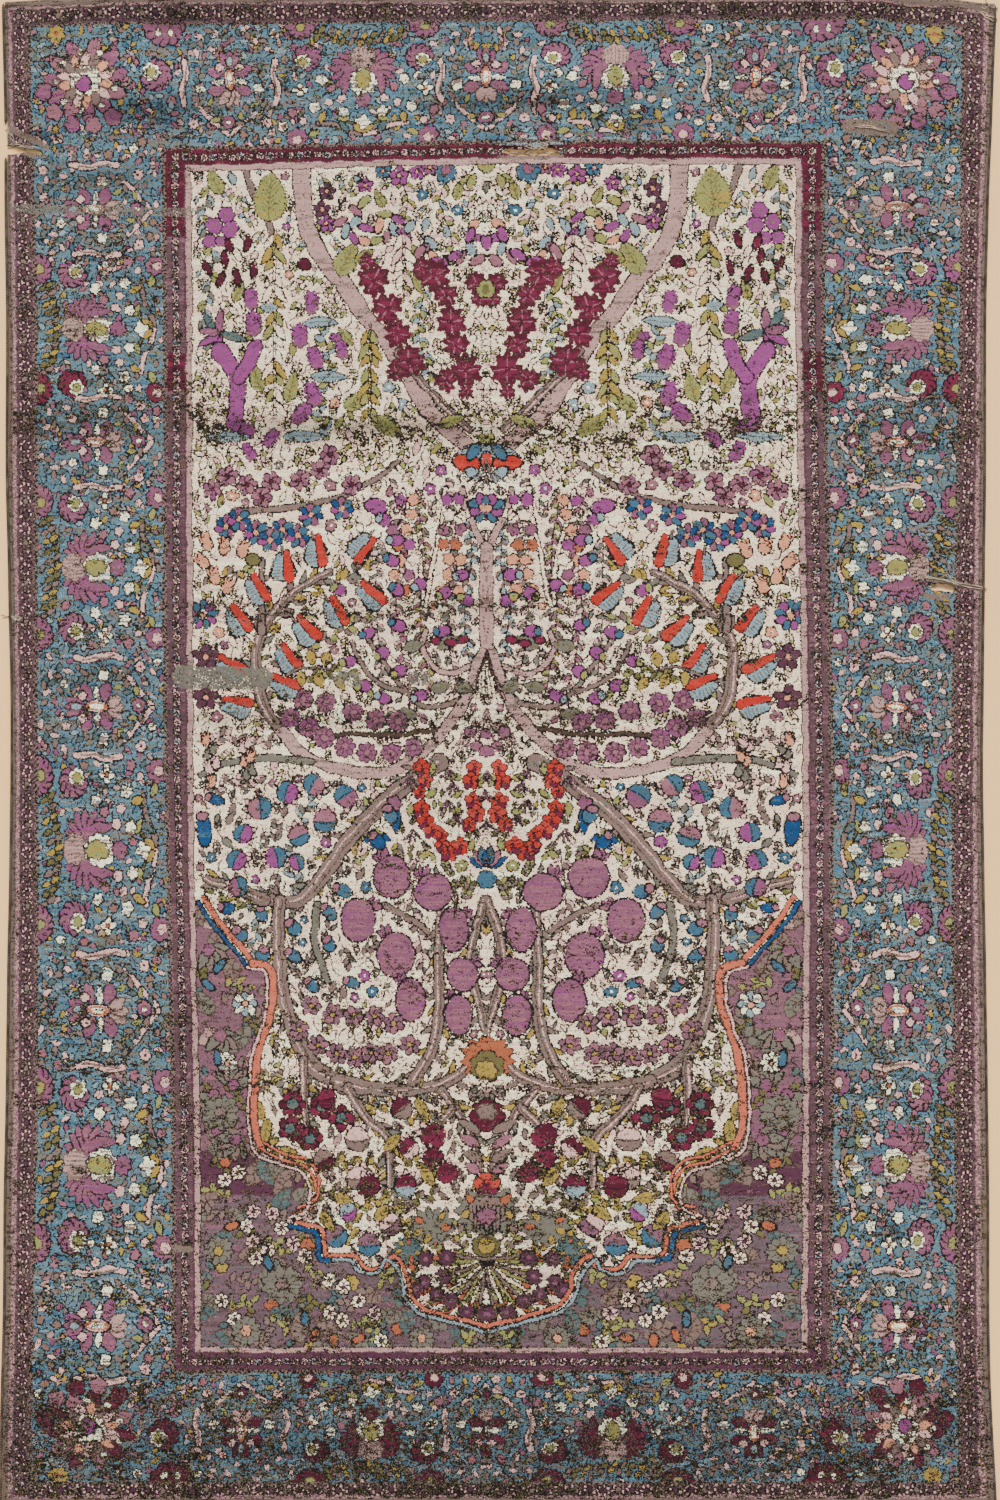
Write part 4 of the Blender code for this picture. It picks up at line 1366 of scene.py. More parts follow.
def uneven(knots, random):
    """The same knots as a hand would tie them: outlines wander, and some knots are misplaced."""
    shape = knots.shape
    down = 1.3 * wavy(shape, (14, 11), random) + random.normal(0, 0.26, shape)
    across = 1.3 * wavy(shape, (11, 14), random) + random.normal(0, 0.26, shape)
    r = np.clip(np.arange(shape[0])[:, None] + np.rint(down).astype(int), 0, shape[0] - 1)
    q = np.clip(np.arange(shape[1])[None, :] + np.rint(across).astype(int), 0, shape[1] - 1)
    moved = knots[r, q]
    for dye, other, share in ABRASH:
        streak = wavy(shape, (2, 22), random) + 0.6 * wavy(shape, (9, 60), random)
        streak = streak + 0.5 * random.uniform(-1, 1, shape)
        moved[(moved == DYE[dye]) & (streak > 1.3 - 1.7 * share)] = DYE[other]
    return moved


# Batches of silk that fade apart in thin streaks: dye, the dye it turns to, share
ABRASH = (
    ("sky", "ice", 0.25), ("sky", "grey_green", 0.32), ("sky", "dusty", 0.3), ("sky", "blue", 0.45),
    ("ivory", "dusty", 0.55), ("ivory", "ice", 0.3), ("blue", "teal", 0.2), ("orchid", "rose", 0.4),
    ("orchid", "violet", 0.25), ("pale_pink", "dusty", 0.4), ("cream", "ivory", 0.5), ("cream", "blush", 0.3),
    ("plum", "guard", 0.35), ("guard", "plum", 0.25), ("guard", "mauve", 0.4), ("ash", "guard", 0.4),
    ("ash", "teal", 0.2), ("ash", "mauve", 0.5), ("mauve", "orchid", 0.35), ("mauve", "rose", 0.3),
    ("mauve", "guard", 0.2), ("wine", "crimson", 0.4), ("dusty", "grey_green", 0.3), ("warp", "brown", 0.4),
    ("deep_blue", "blue", 0.3), ("sage", "gold", 0.35), ("flame", "coral", 0.5), ("teal", "grey_green", 0.4),
)


# Places where the pile is gone, in columns and rows of the view: start, end, width, share of knots lost, dye
BARE_PLACES = (
    ((8, 127), (47, 148), 6, 0.95, "warp"),
    ((5, 150), (44, 157), 5, 0.8, "warp"),
    ((500, 158), (562, 158), 3.5, 0.85, "warp"),
    ((500, 145), (562, 144), 3, 0.7, "ice"),
    ((922, 577), (985, 590), 4.5, 0.95, "warp"),
    ((925, 596), (946, 598), 5, 0.95, "warp"),
    ((848, 127), (890, 129), 15, 0.85, "warp"),
    ((10, 209), (192, 213), 9, 0.5, "grey_green"),
    ((800, 207), (975, 212), 8, 0.35, "warp"),
    ((183, 677), (262, 679), 22, 0.85, "grey_green"),
    ((340, 678), (356, 679), 16, 0.6, "grey_green"),
    ((414, 679), (426, 679), 14, 0.6, "grey_green"),
    ((175, 1248), (191, 1249), 6, 0.9, "warp"),
    ((0, 616), (20, 619), 2.5, 0.8, "ivory"),
)


def distance_to(u, v, start, end):
    (x0, y0), (x1, y1) = start, end
    run = (x1 - x0) ** 2 + (y1 - y0) ** 2
    share = np.clip(((u - x0) * (x1 - x0) + (v - y0) * (y1 - y0)) / max(run, 1e-9), 0, 1)
    return np.hypot(u - x0 - share * (x1 - x0), v - y0 - share * (y1 - y0))


# Share of knots turned dark by soil, by dark roots and by painted shade in the creases and at the top: row, borders,
# field
SOIL_AND_SHADE_ROWS = (
    (0, 0.3, 0.20), (40, 0.09, 0.20), (160, 0.08, 0.06), (240, 0.08, 0.03), (330, 0.09, 0.03), (400, 0.13, 0.08),
    (418, 0.22, 0.34), (440, 0.22, 0.30), (458, 0.12, 0.05), (560, 0.1, 0.03), (592, 0.11, 0.08), (600, 0.12, 0.22),
    (612, 0.11, 0.16), (625, 0.1, 0.05), (700, 0.12, 0.08), (715, 0.13, 0.2), (728, 0.13, 0.2), (742, 0.11, 0.06),
    (850, 0.1, 0.07), (960, 0.11, 0.08), (1060, 0.13, 0.12), (1180, 0.14, 0.14), (1300, 0.16, 0.16), (1360, 0.2, 0.2),
    (1400, 0.26, 0.26), (1470, 0.34, 0.26), (1500, 0.36, 0.26),
)


# The field as it lies in the view: left, top, right, bottom; and the darker lower end, from row to row
FIELD_VIEW = (196, 164, 800, 1348)
LOWER_END = (1385, 1482)


def soil_and_shade(knots, u, v, random):
    """Dark knots in clusters and thin streaks: soiled pile, pile rubbed to its dark roots, and painted shade in the
    fold creases.
    """
    rows, borders, field = np.array(SOIL_AND_SHADE_ROWS).T
    left, top, right, bottom = FIELD_VIEW
    inside = (u > left) & (u < right) & (v > top) & (v < bottom)
    share = np.where(inside, np.interp(v, rows, field), np.interp(v, rows, borders))
    rough = (
        0.8 * wavy(knots.shape, (2, 4), random) + 0.5 * wavy(knots.shape, (5, 7), random)
        + 0.45 * wavy(knots.shape, (24, 40), random) + 0.5 * random.uniform(-1, 1, knots.shape)
    )
    shares = np.linspace(0, 1, 41)
    level = np.interp(1 - share, shares, np.quantile(rough[::3, ::3], shares))
    dark = (rough > level) & (knots != DYE["warp"])
    # The dark dyes stand for soil and dark roots and, in the fold creases and near the top, for painted shade
    knots[dark] = picked(dark, ("umber", "ink", "umber", "ink", "brown", "olive"), random)
    return knots


def wear_soil_and_shade(knots, u, v, random):
    """Bare strips and patches, soiled knots with painted shade in the creases, and the darker dyes and mixed knots of
    the lower end.
    """
    chance = random.rand(*knots.shape) < 0.2 + 0.2 * wavy(knots.shape, (9, 12), random)
    low = (v > LOWER_END[0]) & (v < LOWER_END[1]) & chance
    knots[low] = picked(low, ("umber", "ink", "ash", "teal", "wine", "brown"), random)
    knots = soil_and_shade(knots, u, v, random)
    for start, end, width, share, dye in BARE_PLACES:
        rough = width / 2 + 1.2 * wavy(knots.shape, (5, 9), random)
        lost = (distance_to(u, v, start, end) < rough) & (random.rand(*knots.shape) < share)
        knots[lost] = DYE[dye]
    loose = random.rand(*knots.shape) < 0.02
    knots[loose] = picked(loose, ("brown", "dusty", "grey_green", "ink"), random)
    return knots


# Painted shade, with some soil, that darkens the colour: shadows under the ripples, dark lines in the fold creases
# and
# where the pile lies the other way, and darker patches such as the lower end:
# middle, half length, half height in columns and rows, strength
PAINTED_SHADE_PLACES = (
    (145, 112, 50, 15, 0.45), (535, 103, 110, 13, 0.35), (45, 135, 22, 8, 0.4), (940, 130, 22, 8, 0.45),
    (175, 18, 32, 9, 0.6), (350, 428, 170, 13, 0.6), (360, 431, 200, 3, 0.65), (760, 396, 60, 5, 0.35),
    (690, 470, 60, 4, 0.3), (90, 425, 90, 24, 0.3), (450, 606, 60, 7, 0.5), (470, 607, 90, 2.5, 0.5),
    (220, 720, 26, 6, 0.4), (97, 180, 70, 16, 0.28), (97, 678, 70, 14, 0.25), (900, 425, 60, 14, 0.3),
    (500, 8, 560, 12, 0.3), (330, 720, 190, 8, 0.4), (620, 718, 160, 7, 0.35), (470, 692, 150, 5, 0.3),
    (640, 430, 120, 10, 0.35), (218, 678, 38, 12, 0.2), (486, 1275, 95, 62, 0.22), (500, 1492, 560, 9, 0.35),
    (486, 812, 76, 46, 0.14), (300, 612, 120, 3, 0.4), (205, 606, 30, 3, 0.5), (97, 1000, 40, 220, 0.05),
    (500, 1440, 560, 62, 0.36),
)


# Painted shade: how much the colour at each point is darkened by the places above
def painted_shade_at(u, v):
    shade = np.zeros_like(u)
    for x, y, wide, high, strength in PAINTED_SHADE_PLACES:
        shade = np.maximum(shade, strength * np.exp(-(((u - x) / wide) ** 4) - ((v - y) / high) ** 2))
    return shade


def coded(knots):
    """Four sets of three numbers for each face, each number holding the dyes of four knots."""
    blocks = knots.reshape(FACES_DOWN, KNOTS_DOWN, FACES_ACROSS, KNOTS_ACROSS).transpose(0, 2, 1, 3)
    blocks = blocks.reshape(FACES_DOWN * FACES_ACROSS, KNOTS_DOWN, KNOTS_ACROSS).astype(np.int64)
    weights = len(DYES) ** np.arange(4)
    parts = []
    for k in range(4):
        top, left = 3 * (k // 2), 4 * (k % 2)
        parts.append((blocks[:, top:top + 3, left:left + 4] * weights).sum(2).astype(np.float32))
    return parts


# Materials


class Value:
    """One socket of a material, so that sums on it are written as ordinary Python."""

    def __init__(self, finish, socket):
        self.finish = finish
        self.socket = socket

    def sum(self, operation, *values):
        return self.finish.node("ShaderNodeMath", {"operation": operation}, dict(enumerate(values)))

    def operator(operation, turned=False):
        """A sum under one of Python's own signs; turned where this value stands second."""
        if turned:
            return lambda self, other: self.sum(operation, other, self)
        return lambda self, *others: self.sum(operation, self, *others)

    __add__, __radd__ = operator("ADD"), operator("ADD", True)
    __sub__, __rsub__ = operator("SUBTRACT"), operator("SUBTRACT", True)
    __mul__, __rmul__ = operator("MULTIPLY"), operator("MULTIPLY", True)
    __truediv__, __mod__ = operator("DIVIDE"), operator("FLOORED_MODULO")
    __lt__, __gt__ = operator("LESS_THAN"), operator("GREATER_THAN")
    floor, fraction = operator("FLOOR"), operator("FRACT")

    def is_whole(self, number):
        """1 where this is the whole number, else 0."""
        return self.sum("COMPARE", self, number, 0.25)


class Finish:
    """A material built node by node."""

    def __init__(self, name):
        self.material = bpy.data.materials.new(name)
        self.material.use_nodes = True
        self.tree = self.material.node_tree
        self.shader = self.tree.nodes["Principled BSDF"]

    def node(self, kind, settings=None, inputs=None, output=0):
        node = self.tree.nodes.new(kind)
        for name, value in (settings or {}).items():
            if name == "stops":
                self.set_stops(node.color_ramp, value)
            else:
                setattr(node, name, value)
        for name, value in (inputs or {}).items():
            self.feed(node.inputs[name], value)
        return Value(self, node.outputs[output])

    def set_stops(self, ramp, stops):
        while len(ramp.elements) < len(stops):
            ramp.elements.new(0.5)
        for element, (place, colour) in zip(ramp.elements, stops):
            element.position = place
            element.color = (*colour, 1.0)

    def feed(self, socket, value):
        if isinstance(value, Value):
            self.tree.links.new(value.socket, socket)
        else:
            socket.default_value = value

    def scaled(self, colour, factor):
        return self.node("ShaderNodeVectorMath", {"operation": "SCALE"}, {0: colour, "Scale": factor})

    def mixed(self, share, first, second):
        settings = {"data_type": "RGBA", "clamp_factor": True}
        return self.node("ShaderNodeMix", settings, {0: share, 6: first, 7: second}, 2)

    def noise(self, place, scale, detail=2.0):
        return self.node("ShaderNodeTexNoise", None, {"Vector": place, "Scale": scale, "Detail": detail})

    def attribute(self, name, output="Fac"):
        return self.node("ShaderNodeAttribute", {"attribute_name": name}, None, output)

    def set(self, **sockets):
        for name, value in sockets.items():
            self.feed(self.shader.inputs[name.replace("_", " ").title()], value)


def linear(shares):
    """Linear light of a colour given as it shows, 0 to 1."""
    return tuple(s / 12.92 if s <= 0.04045 else ((s + 0.055) / 1.055) ** 2.4 for s in shares)


# Brightness of a white surface on the stage, and the point past which the viewer's film flattens colours
STAGE_LIGHT = 2.0
FILM_KNEE = 0.24
FILM_FALL = 1.4
STRONGER = 1.08


def silk(colour):
    """The silk's own colour, from the colour it shows on the stage."""
    light = np.array(linear(colour))
    light = light / (1 - FILM_FALL * np.maximum(0, light - FILM_KNEE))
    light = light.mean() + (light - light.mean()) * STRONGER
    return tuple(np.clip(light / STAGE_LIGHT, 0.004, 0.88))


# How strongly each unevenness lightens or darkens the pile, from knot to knot, along a row, in clouds, in its fibres
KNOT_SHADE, ROW_SHADE, CLOUD_SHADE, FIBRE_SHADE = 0.34, 0.4, 0.4, 0.3
# Sum of wear and chance from which a knot is rubbed down to its warp
RUBBED_FROM = 0.74


def pile_finish(name, dyes, fade):
    """Worn silk pile that reads the dye of each knot; fade mixes it with the bare warp, as on the back."""
    finish = Finish(name)
    chart = finish.node("ShaderNodeUVMap", {"uv_map": "chart"})
    axes = finish.node("ShaderNodeSeparateXYZ", None, {0: chart})
    across = axes * (2 * HALF_KNOTS)
    down = Value(finish, axes.socket.node.outputs[1]) * KNOT_ROWS
    column, row = across.floor(), down.floor()
    in_column, in_row = column % KNOTS_ACROSS, row % KNOTS_DOWN
    right, low = in_column > 3.5, in_row > 2.5
    digit, part = in_column % 4, in_row % 3
    pick = finish.node("ShaderNodeCombineXYZ", None, {n: part.is_whole(n) for n in range(3)})
    held = 0
    for k in range(4):
        block = finish.attribute("knots_%d" % k, "Vector")
        dot = finish.node("ShaderNodeVectorMath", {"operation": "DOT_PRODUCT"}, {0: block, 1: pick}, "Value")
        wanted = (low if k // 2 else 1 - low) * (right if k % 2 else 1 - right)
        held = dot * wanted + held
    scale = 0
    for n in range(4):
        scale = digit.is_whole(n) * (1.0 / len(DYES) ** n) + scale
    dye = (held * scale).floor() % len(DYES)
    stops = [(n / len(dyes), silk(colour)) for n, colour in enumerate(dyes)]
    ramp = finish.node("ShaderNodeValToRGB", {"stops": stops}, {0: (dye + 0.5) / len(DYES)})
    ramp.socket.node.color_ramp.interpolation = "CONSTANT"

    knot = finish.node("ShaderNodeCombineXYZ", None, {0: column, 1: row})
    chance = finish.node("ShaderNodeTexWhiteNoise", {"noise_dimensions": "3D"}, {"Vector": knot}, "Value")
    place = finish.node("ShaderNodeTexCoord", None, None, "Object")
    streaks = finish.node("ShaderNodeVectorMath", {"operation": "MULTIPLY"}, {0: place, 1: (2.0, 90.0, 1.0)})
    streak = finish.noise(streaks, 1.0)
    cloud = finish.noise(place, 9.0, 3.0)
    fine = finish.noise(place, 160.0, 2.0)
    shade = finish.attribute("shade")
    light = 0.84 + chance * KNOT_SHADE + (streak - 0.5) * ROW_SHADE + (cloud - 0.5) * CLOUD_SHADE
    light = light + (fine - 0.5) * FIBRE_SHADE
    # Painted shade from the sheet's shade attribute darkens the colour
    light = light * (1 - shade)
    colour = finish.scaled(ramp, light)
    worn = finish.attribute("worn")
    bare = (chance * 0.5 + worn * 0.6 + (cloud - 0.5) * 0.5 + fade) > RUBBED_FROM
    colour = finish.mixed(bare * 0.75, colour, (*silk(dyes[0]), 1.0))
    finish.set(Base_Color=colour)

    in_knot = [4 * share.fraction() * (1 - share.fraction()) for share in (across, down)]
    height = in_knot[0] * in_knot[1] * 0.5 + chance * 0.5 + fine * 0.6
    bump = finish.node("ShaderNodeBump", None, {"Strength": 0.5, "Distance": 0.0012, "Height": height})
    finish.set(Normal=bump, Roughness=0.62 + (cloud - 0.5) * 0.2)
    finish.set(Sheen_Weight=0.05, Sheen_Roughness=0.4)
    finish.shader.inputs["Specular IOR Level"].default_value = 0.12
    return finish.material


def thread_finish(name, dark, pale):
    """Wool overcast round a cord: slanted turns of thread, rubbed pale here and there."""
    finish = Finish(name)
    place = finish.node("ShaderNodeTexCoord", None, None, "Object")
    axes = finish.node("ShaderNodeSeparateXYZ", None, {0: place})
    along = Value(finish, axes.socket.node.outputs[1])
    turn = (along * 280.0 + axes * 120.0).fraction()
    ridge = 4 * turn * (1 - turn)
    rubbed = finish.noise(place, 60.0, 3.0)
    share = (rubbed - 0.5) * 2.4 + ridge * 0.35
    colour = finish.mixed(share, (*silk(dark), 1.0), (*silk(pale), 1.0))
    fuzz = finish.noise(place, 1500.0, 2.0)
    bump = finish.node("ShaderNodeBump", None, {"Strength": 0.6, "Distance": 0.0006, "Height": ridge + fuzz * 0.5})
    finish.set(Base_Color=colour, Normal=bump, Roughness=0.85)
    return finish.material


def floor_finish(name, colour):
    finish = Finish(name)
    place = finish.node("ShaderNodeTexCoord", None, None, "Object")
    cloud = finish.noise(place, 3.0, 2.0)
    shade = finish.scaled(silk(colour), 0.96 + cloud * 0.06)
    finish.set(Base_Color=shade, Roughness=0.7)
    return finish.material


# Sizes and colours that a user may change


def length(name, description, default):
    return bpy.props.FloatProperty(name=name, description=description, default=default, unit="LENGTH")


def colour(name, description, *default):
    return bpy.props.FloatVectorProperty(
        name=name, description=description, subtype="COLOR", default=default, max=1
    )


class RugSizes(bpy.types.PropertyGroup):
    pile_thickness: length("Pile thickness", "Sheet with its worn pile", 4.0 * MM)
    flat_thickness: length("Flat thickness", "Plain woven ends and side strips", 2.6 * MM)
    cord_turn: length("Overcast turn", "Length of one turn of thread on a side cord", 3.8 * MM)
    thread: length("Loose thread", "Diameter of a loose warp or weft", 1.1 * MM)
    seed: bpy.props.IntProperty(name="Hand", description="Which weaver's unevenness", default=5)


class RugColours(bpy.types.PropertyGroup):
    cord: colour("Overcast thread", "Dark thread of the side cords", 0.22, 0.17, 0.16)
    cord_rubbed: colour("Rubbed thread", "Pale worn thread of the side cords", 0.5, 0.44, 0.39)
    loose: colour("Loose threads", "Bare warps and wefts at the tears", 0.82, 0.78, 0.72)
    floor: colour("Floor", "Plain pale floor", 0.885, 0.785, 0.665)


def activate(thing):
    bpy.ops.object.select_all(action="DESELECT")
    thing.select_set(True)
    bpy.context.view_layer.objects.active = thing


def apply_modifiers(thing):
    activate(thing)
    for modifier in list(thing.modifiers):
        bpy.ops.object.modifier_apply(modifier=modifier.name)


# Tears right through the sheet, in mm from the rug's middle: place, then the ragged outline around it
TEARS = (
    ((-668, 808), (
        (-20, 8), (4, 7.4), (13, 8), (21, 5.5), (29, 2.7), (44, 2), (51, 0), (44, -2.7), (27, -2), (19, -4), (-2, -5),
        (-20, -6),
    )),
    ((44.5, 807), (
        (-38, -1), (-36, 5.5), (-31, 3.6), (-27, 5), (-21, 3.2), (-15, 4), (-9, 2.6), (-4, 5), (4, 3), (12, 3.5),
        (16, 2.2), (20, 6), (29, 5), (34, 2), (38, 2.5), (37, -4), (18, -5.5), (-5, -6), (-26, -5),
    )),
    ((597, 220), (
        (-17, -1), (-13, 4), (-8, 3), (-4, 5.5), (2, 3.4), (8, 4), (16, 1), (19, -4), (15, -8), (10, -6), (7, -7),
        (-1, -5), (-11, -5),
    )),
)


CUTTER_FOOT, CUTTER_HEIGHT = -20 * MM, 60 * MM


def make_cutter(place, outline):
    """A prism through the sheet at one tear."""
    bpy.ops.mesh.primitive_circle_add(vertices=len(outline), radius=0.01, fill_type="NGON")
    cutter = bpy.context.active_object
    for vertex, (across, up) in zip(cutter.data.vertices, outline[::-1]):
        vertex.co = ((place[0] + across) * MM, (place[1] + up) * MM, CUTTER_FOOT)
    bpy.ops.object.mode_set(mode="EDIT")
    bpy.ops.mesh.select_all(action="SELECT")
    bpy.ops.mesh.extrude_region_move(TRANSFORM_OT_translate={"value": (0, 0, CUTTER_HEIGHT)})
    bpy.ops.mesh.select_all(action="SELECT")
    bpy.ops.mesh.normals_make_consistent(inside=False)
    bpy.ops.object.mode_set(mode="OBJECT")
    apply_place(cutter)
    return cutter


def apply_place(thing):
    activate(thing)
    bpy.ops.object.transform_apply(location=True, rotation=True, scale=True)


# Rows of the view past which the pile of the ends is rubbed
WORN_ENDS = (10, 1480)
# Places of the front and of the back in the bake layout: start and share across, start and share up
BAKE_FRONT, BAKE_BACK, BAKE_UP = (0.01, 0.66), (0.68, 0.31), (0.01, 0.98)
# How much the sheet's own height is smoothed, in faces, and how high its fine unevenness is
SMOOTHING = 1.3
LONG_WAVES, SHORT_WAVES = 0.35 * MM, 0.25 * MM


class RUG_OT_lay_sheet(bpy.types.Operator):
    """Knots the silk sheet from its cartoon and lays it in its ripples"""

    bl_idname = "rug.lay_sheet"
    bl_label = "Lay the sheet"

    def execute(self, context):
        sizes = context.scene.rug_sizes
        random = np.random.RandomState(sizes.seed)
        cartoon = Cartoon()
        draw_field(cartoon, random)
        draw_frame(cartoon, random)
        knots = np.concatenate([cartoon.knots, cartoon.knots[:, ::-1]], 1)
        cad = CadSheet(frame["nodes"]["rug"])
        xs, ys = sheet_grid(cad)
        u = xs / SQUARE + VIEW_MIDDLE[0]
        v = VIEW_MIDDLE[1] - ys / SQUARE
        knots = wear_soil_and_shade(uneven(knots, random), knot_places(u), knot_places(v), random)

        flat = self.flat_part()
        thickness = np.where(flat, sizes.flat_thickness, sizes.pile_thickness)
        inset = 1.5 * MM
        low, high = xs.min(1, keepdims=True) + inset, xs.max(1, keepdims=True) - inset
        probe_x = np.clip(xs, low, high)
        probe_y = np.clip(ys, ys.min(0) + inset, ys.max(0) - inset)
        heights = [cad.top(x, y) for x, y in zip(probe_x.ravel(), probe_y.ravel())]
        lift = blurred(filled(np.array(heights).reshape(xs.shape) - thickness), SMOOTHING)
        uneven_lift = LONG_WAVES * wavy(xs.shape, (5, 60), random) + SHORT_WAVES * wavy(xs.shape, (9, 12), random)
        lift = np.maximum(lift + uneven_lift * np.clip(lift / MM, 0.15, 1), 0)
        sheet = self.make_mesh(xs, ys, lift + thickness, coded(knots))
        self.give_attributes(sheet.data, u, v)
        self.thicken(sheet, flat, sizes)
        self.tear(sheet)
        self.lay_out_bake(sheet.data)
        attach(sheet, "root")
        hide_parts("rug")
        return {"FINISHED"}

    def flat_part(self):
        """True at the points of the plain woven ends and side strips."""
        rows, _, across = cartoon_grid()
        ends = (rows < PILE_EDGE[1]) | (rows > PILE_EDGE[2])
        return ends[:, None] | (across < PILE_EDGE[0] - 1)[None, :]

    def make_mesh(self, xs, ys, zs, parts):
        count = (FACES_DOWN + 1, FACES_ACROSS + 1)
        points = np.stack([xs, ys, zs], -1).reshape(-1, 3)
        index = np.arange(count[0] * count[1]).reshape(count)
        faces = np.stack([index[1:, :-1], index[1:, 1:], index[:-1, 1:], index[:-1, :-1]], -1).reshape(-1, 4)
        mesh = bpy.data.meshes.new("rug_sheet")
        mesh.from_pydata(points.tolist(), [], faces.tolist())
        row, column = np.divmod(index, count[1])
        place = np.stack([column / FACES_ACROSS, row / FACES_DOWN], -1).reshape(-1, 2)
        for name in ("OFBake", "chart"):
            layer = mesh.uv_layers.new(name=name)
            layer.data.foreach_set("uv", place[faces.ravel()].ravel())
        for k, part in enumerate(parts):
            layer = mesh.attributes.new("knots_%d" % k, "FLOAT_VECTOR", "FACE")
            layer.data.foreach_set("vector", part.ravel())
        sheet = bpy.data.objects.new("rug_sheet", mesh)
        bpy.context.scene.collection.objects.link(sheet)
        return sheet

    def give_attributes(self, mesh, u, v):
        edge = np.minimum(np.minimum(u - u.min(1, keepdims=True), u.max(1, keepdims=True) - u), 12)
        worn = 0.35 * np.exp(-edge / 5) + 0.2 * ((v < WORN_ENDS[0]) | (v > WORN_ENDS[1]))
        # shade holds painted shade baked into the colour, the shadows under the ripples and in the creases; worn is
        # real wear
        for name, values in (("shade", painted_shade_at(u, v)), ("worn", worn)):
            layer = mesh.attributes.new(name, "FLOAT", "POINT")
            layer.data.foreach_set("value", values.ravel().astype(np.float32))

    def thicken(self, sheet, flat, sizes):
        mesh = sheet.data
        dyes = [tuple(channel / 255 for channel in colour) for colour in DYES.values()]
        for material in (pile_finish("worn_silk_pile", dyes, 0.0), pile_finish("knotted_back", dyes, 0.12)):
            mesh.materials.append(material)
        pile = sheet.vertex_groups.new(name="pile")
        numbers = np.arange(len(mesh.vertices))
        pile.add(numbers[~flat.ravel()].tolist(), 1.0, "REPLACE")
        pile.add(numbers[flat.ravel()].tolist(), 0.0, "REPLACE")
        solid = sheet.modifiers.new("thickness", "SOLIDIFY")
        solid.thickness = sizes.pile_thickness
        solid.offset = -1.0
        solid.vertex_group = "pile"
        solid.thickness_vertex_group = sizes.flat_thickness / sizes.pile_thickness
        solid.material_offset = 1
        solid.material_offset_rim = 0
        apply_modifiers(sheet)

    def tear(self, sheet):
        for place, outline in TEARS:
            cutter = make_cutter(place, outline)
            hole = sheet.modifiers.new("tear", "BOOLEAN")
            hole.operation = "DIFFERENCE"
            hole.solver = "EXACT"
            hole.object = cutter
            apply_modifiers(sheet)
            bpy.data.objects.remove(cutter, do_unlink=True)

    def lay_out_bake(self, mesh):
        """Moves the back's part of the bake layout beside the front's; the rim keeps the front's layout."""
        sides = np.empty(len(mesh.polygons), int)
        mesh.polygons.foreach_get("material_index", sides)
        totals = np.empty(len(mesh.polygons), int)
        mesh.polygons.foreach_get("loop_total", totals)
        back = np.repeat(sides == 1, totals)
        layer = mesh.uv_layers["OFBake"].data
        place = np.empty(len(mesh.loops) * 2)
        layer.foreach_get("uv", place)
        place = place.reshape(-1, 2)
        start, share = (np.where(back, b, f) for b, f in zip(BAKE_BACK, BAKE_FRONT))
        place[:, 0] = start + share * place[:, 0]
        place[:, 1] = BAKE_UP[0] + BAKE_UP[1] * place[:, 1]
        layer.foreach_set("uv", place.ravel())
        mesh.uv_layers.active = mesh.uv_layers["OFBake"]
        mesh.uv_layers["OFBake"].active_render = True
        mesh.shade_smooth()


CORDS = ("edge_cord_left_upper", "edge_cord_left_lower", "edge_cord_right")
CORD_SIDES = 8
STEPS_PER_TURN = 4


class RUG_OT_wind_cords(bpy.types.Operator):
    """Winds the overcast thread round the cord of each long edge"""

    bl_idname = "rug.wind_cords"
    bl_label = "Wind the side cords"

    def execute(self, context):
        colours = context.scene.rug_colours
        thread = thread_finish("overcast_thread", tuple(colours.cord), tuple(colours.cord_rubbed))
        for name in CORDS:
            cord = self.wind(name, context.scene.rug_sizes.cord_turn)
            cord.data.materials.append(thread)
            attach(cord, "root")
            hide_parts(name)
        return {"FINISHED"}

    def wind(self, name, turn):
        """A tube on the node's own middle line, ribbed by its slanted turns of thread."""
        solid = CadSheet(frame["nodes"][name])
        low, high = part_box(name)
        radius = high[2] / 2
        stations = np.linspace(low[1] + 2 * radius, high[1] - 2 * radius, max(3, int((high[1] - low[1]) / (12 * MM))))
        middles = np.array([sum(solid.span(1, y)) / 2 for y in stations])
        middles = np.convolve(np.pad(middles, 3, mode="edge"), np.ones(7) / 7, "valid")
        y = np.linspace(low[1], high[1], int((high[1] - low[1]) / turn * STEPS_PER_TURN))
        x = np.interp(y, stations, middles)
        angle = np.arange(CORD_SIDES) * 2 * pi / CORD_SIDES
        phase = (y / turn * 2 * pi)[:, None] + angle[None, :]
        ring = radius * (0.87 + 0.1 * np.cos(phase))
        close = np.clip(np.minimum(y - y[0], y[-1] - y) / (2 * radius), 0.02, 1) ** 0.5
        ring = ring * close[:, None]
        across = x[:, None] + ring * np.cos(angle)
        up = radius + ring * np.sin(angle)
        rows = np.broadcast_to(y[:, None], across.shape)
        vertices = np.stack([across, rows, up], -1).reshape(-1, 3)
        index = np.arange(len(y) * CORD_SIDES).reshape(len(y), CORD_SIDES)
        turned = np.roll(index, -1, 1)
        faces = np.stack([index[:-1], index[1:], turned[1:], turned[:-1]], -1).reshape(-1, 4).tolist()
        faces += [index[0].tolist(), index[-1][::-1].tolist()]
        mesh = bpy.data.meshes.new(name + "_wound")
        mesh.from_pydata(vertices.tolist(), [], faces)
        mesh.shade_smooth()
        cord = bpy.data.objects.new(name + "_wound", mesh)
        bpy.context.scene.collection.objects.link(cord)
        activate(cord)
        bpy.ops.object.mode_set(mode="EDIT")
        bpy.ops.mesh.select_all(action="SELECT")
        bpy.ops.mesh.normals_make_consistent(inside=False)
        bpy.ops.object.mode_set(mode="OBJECT")
        return cord


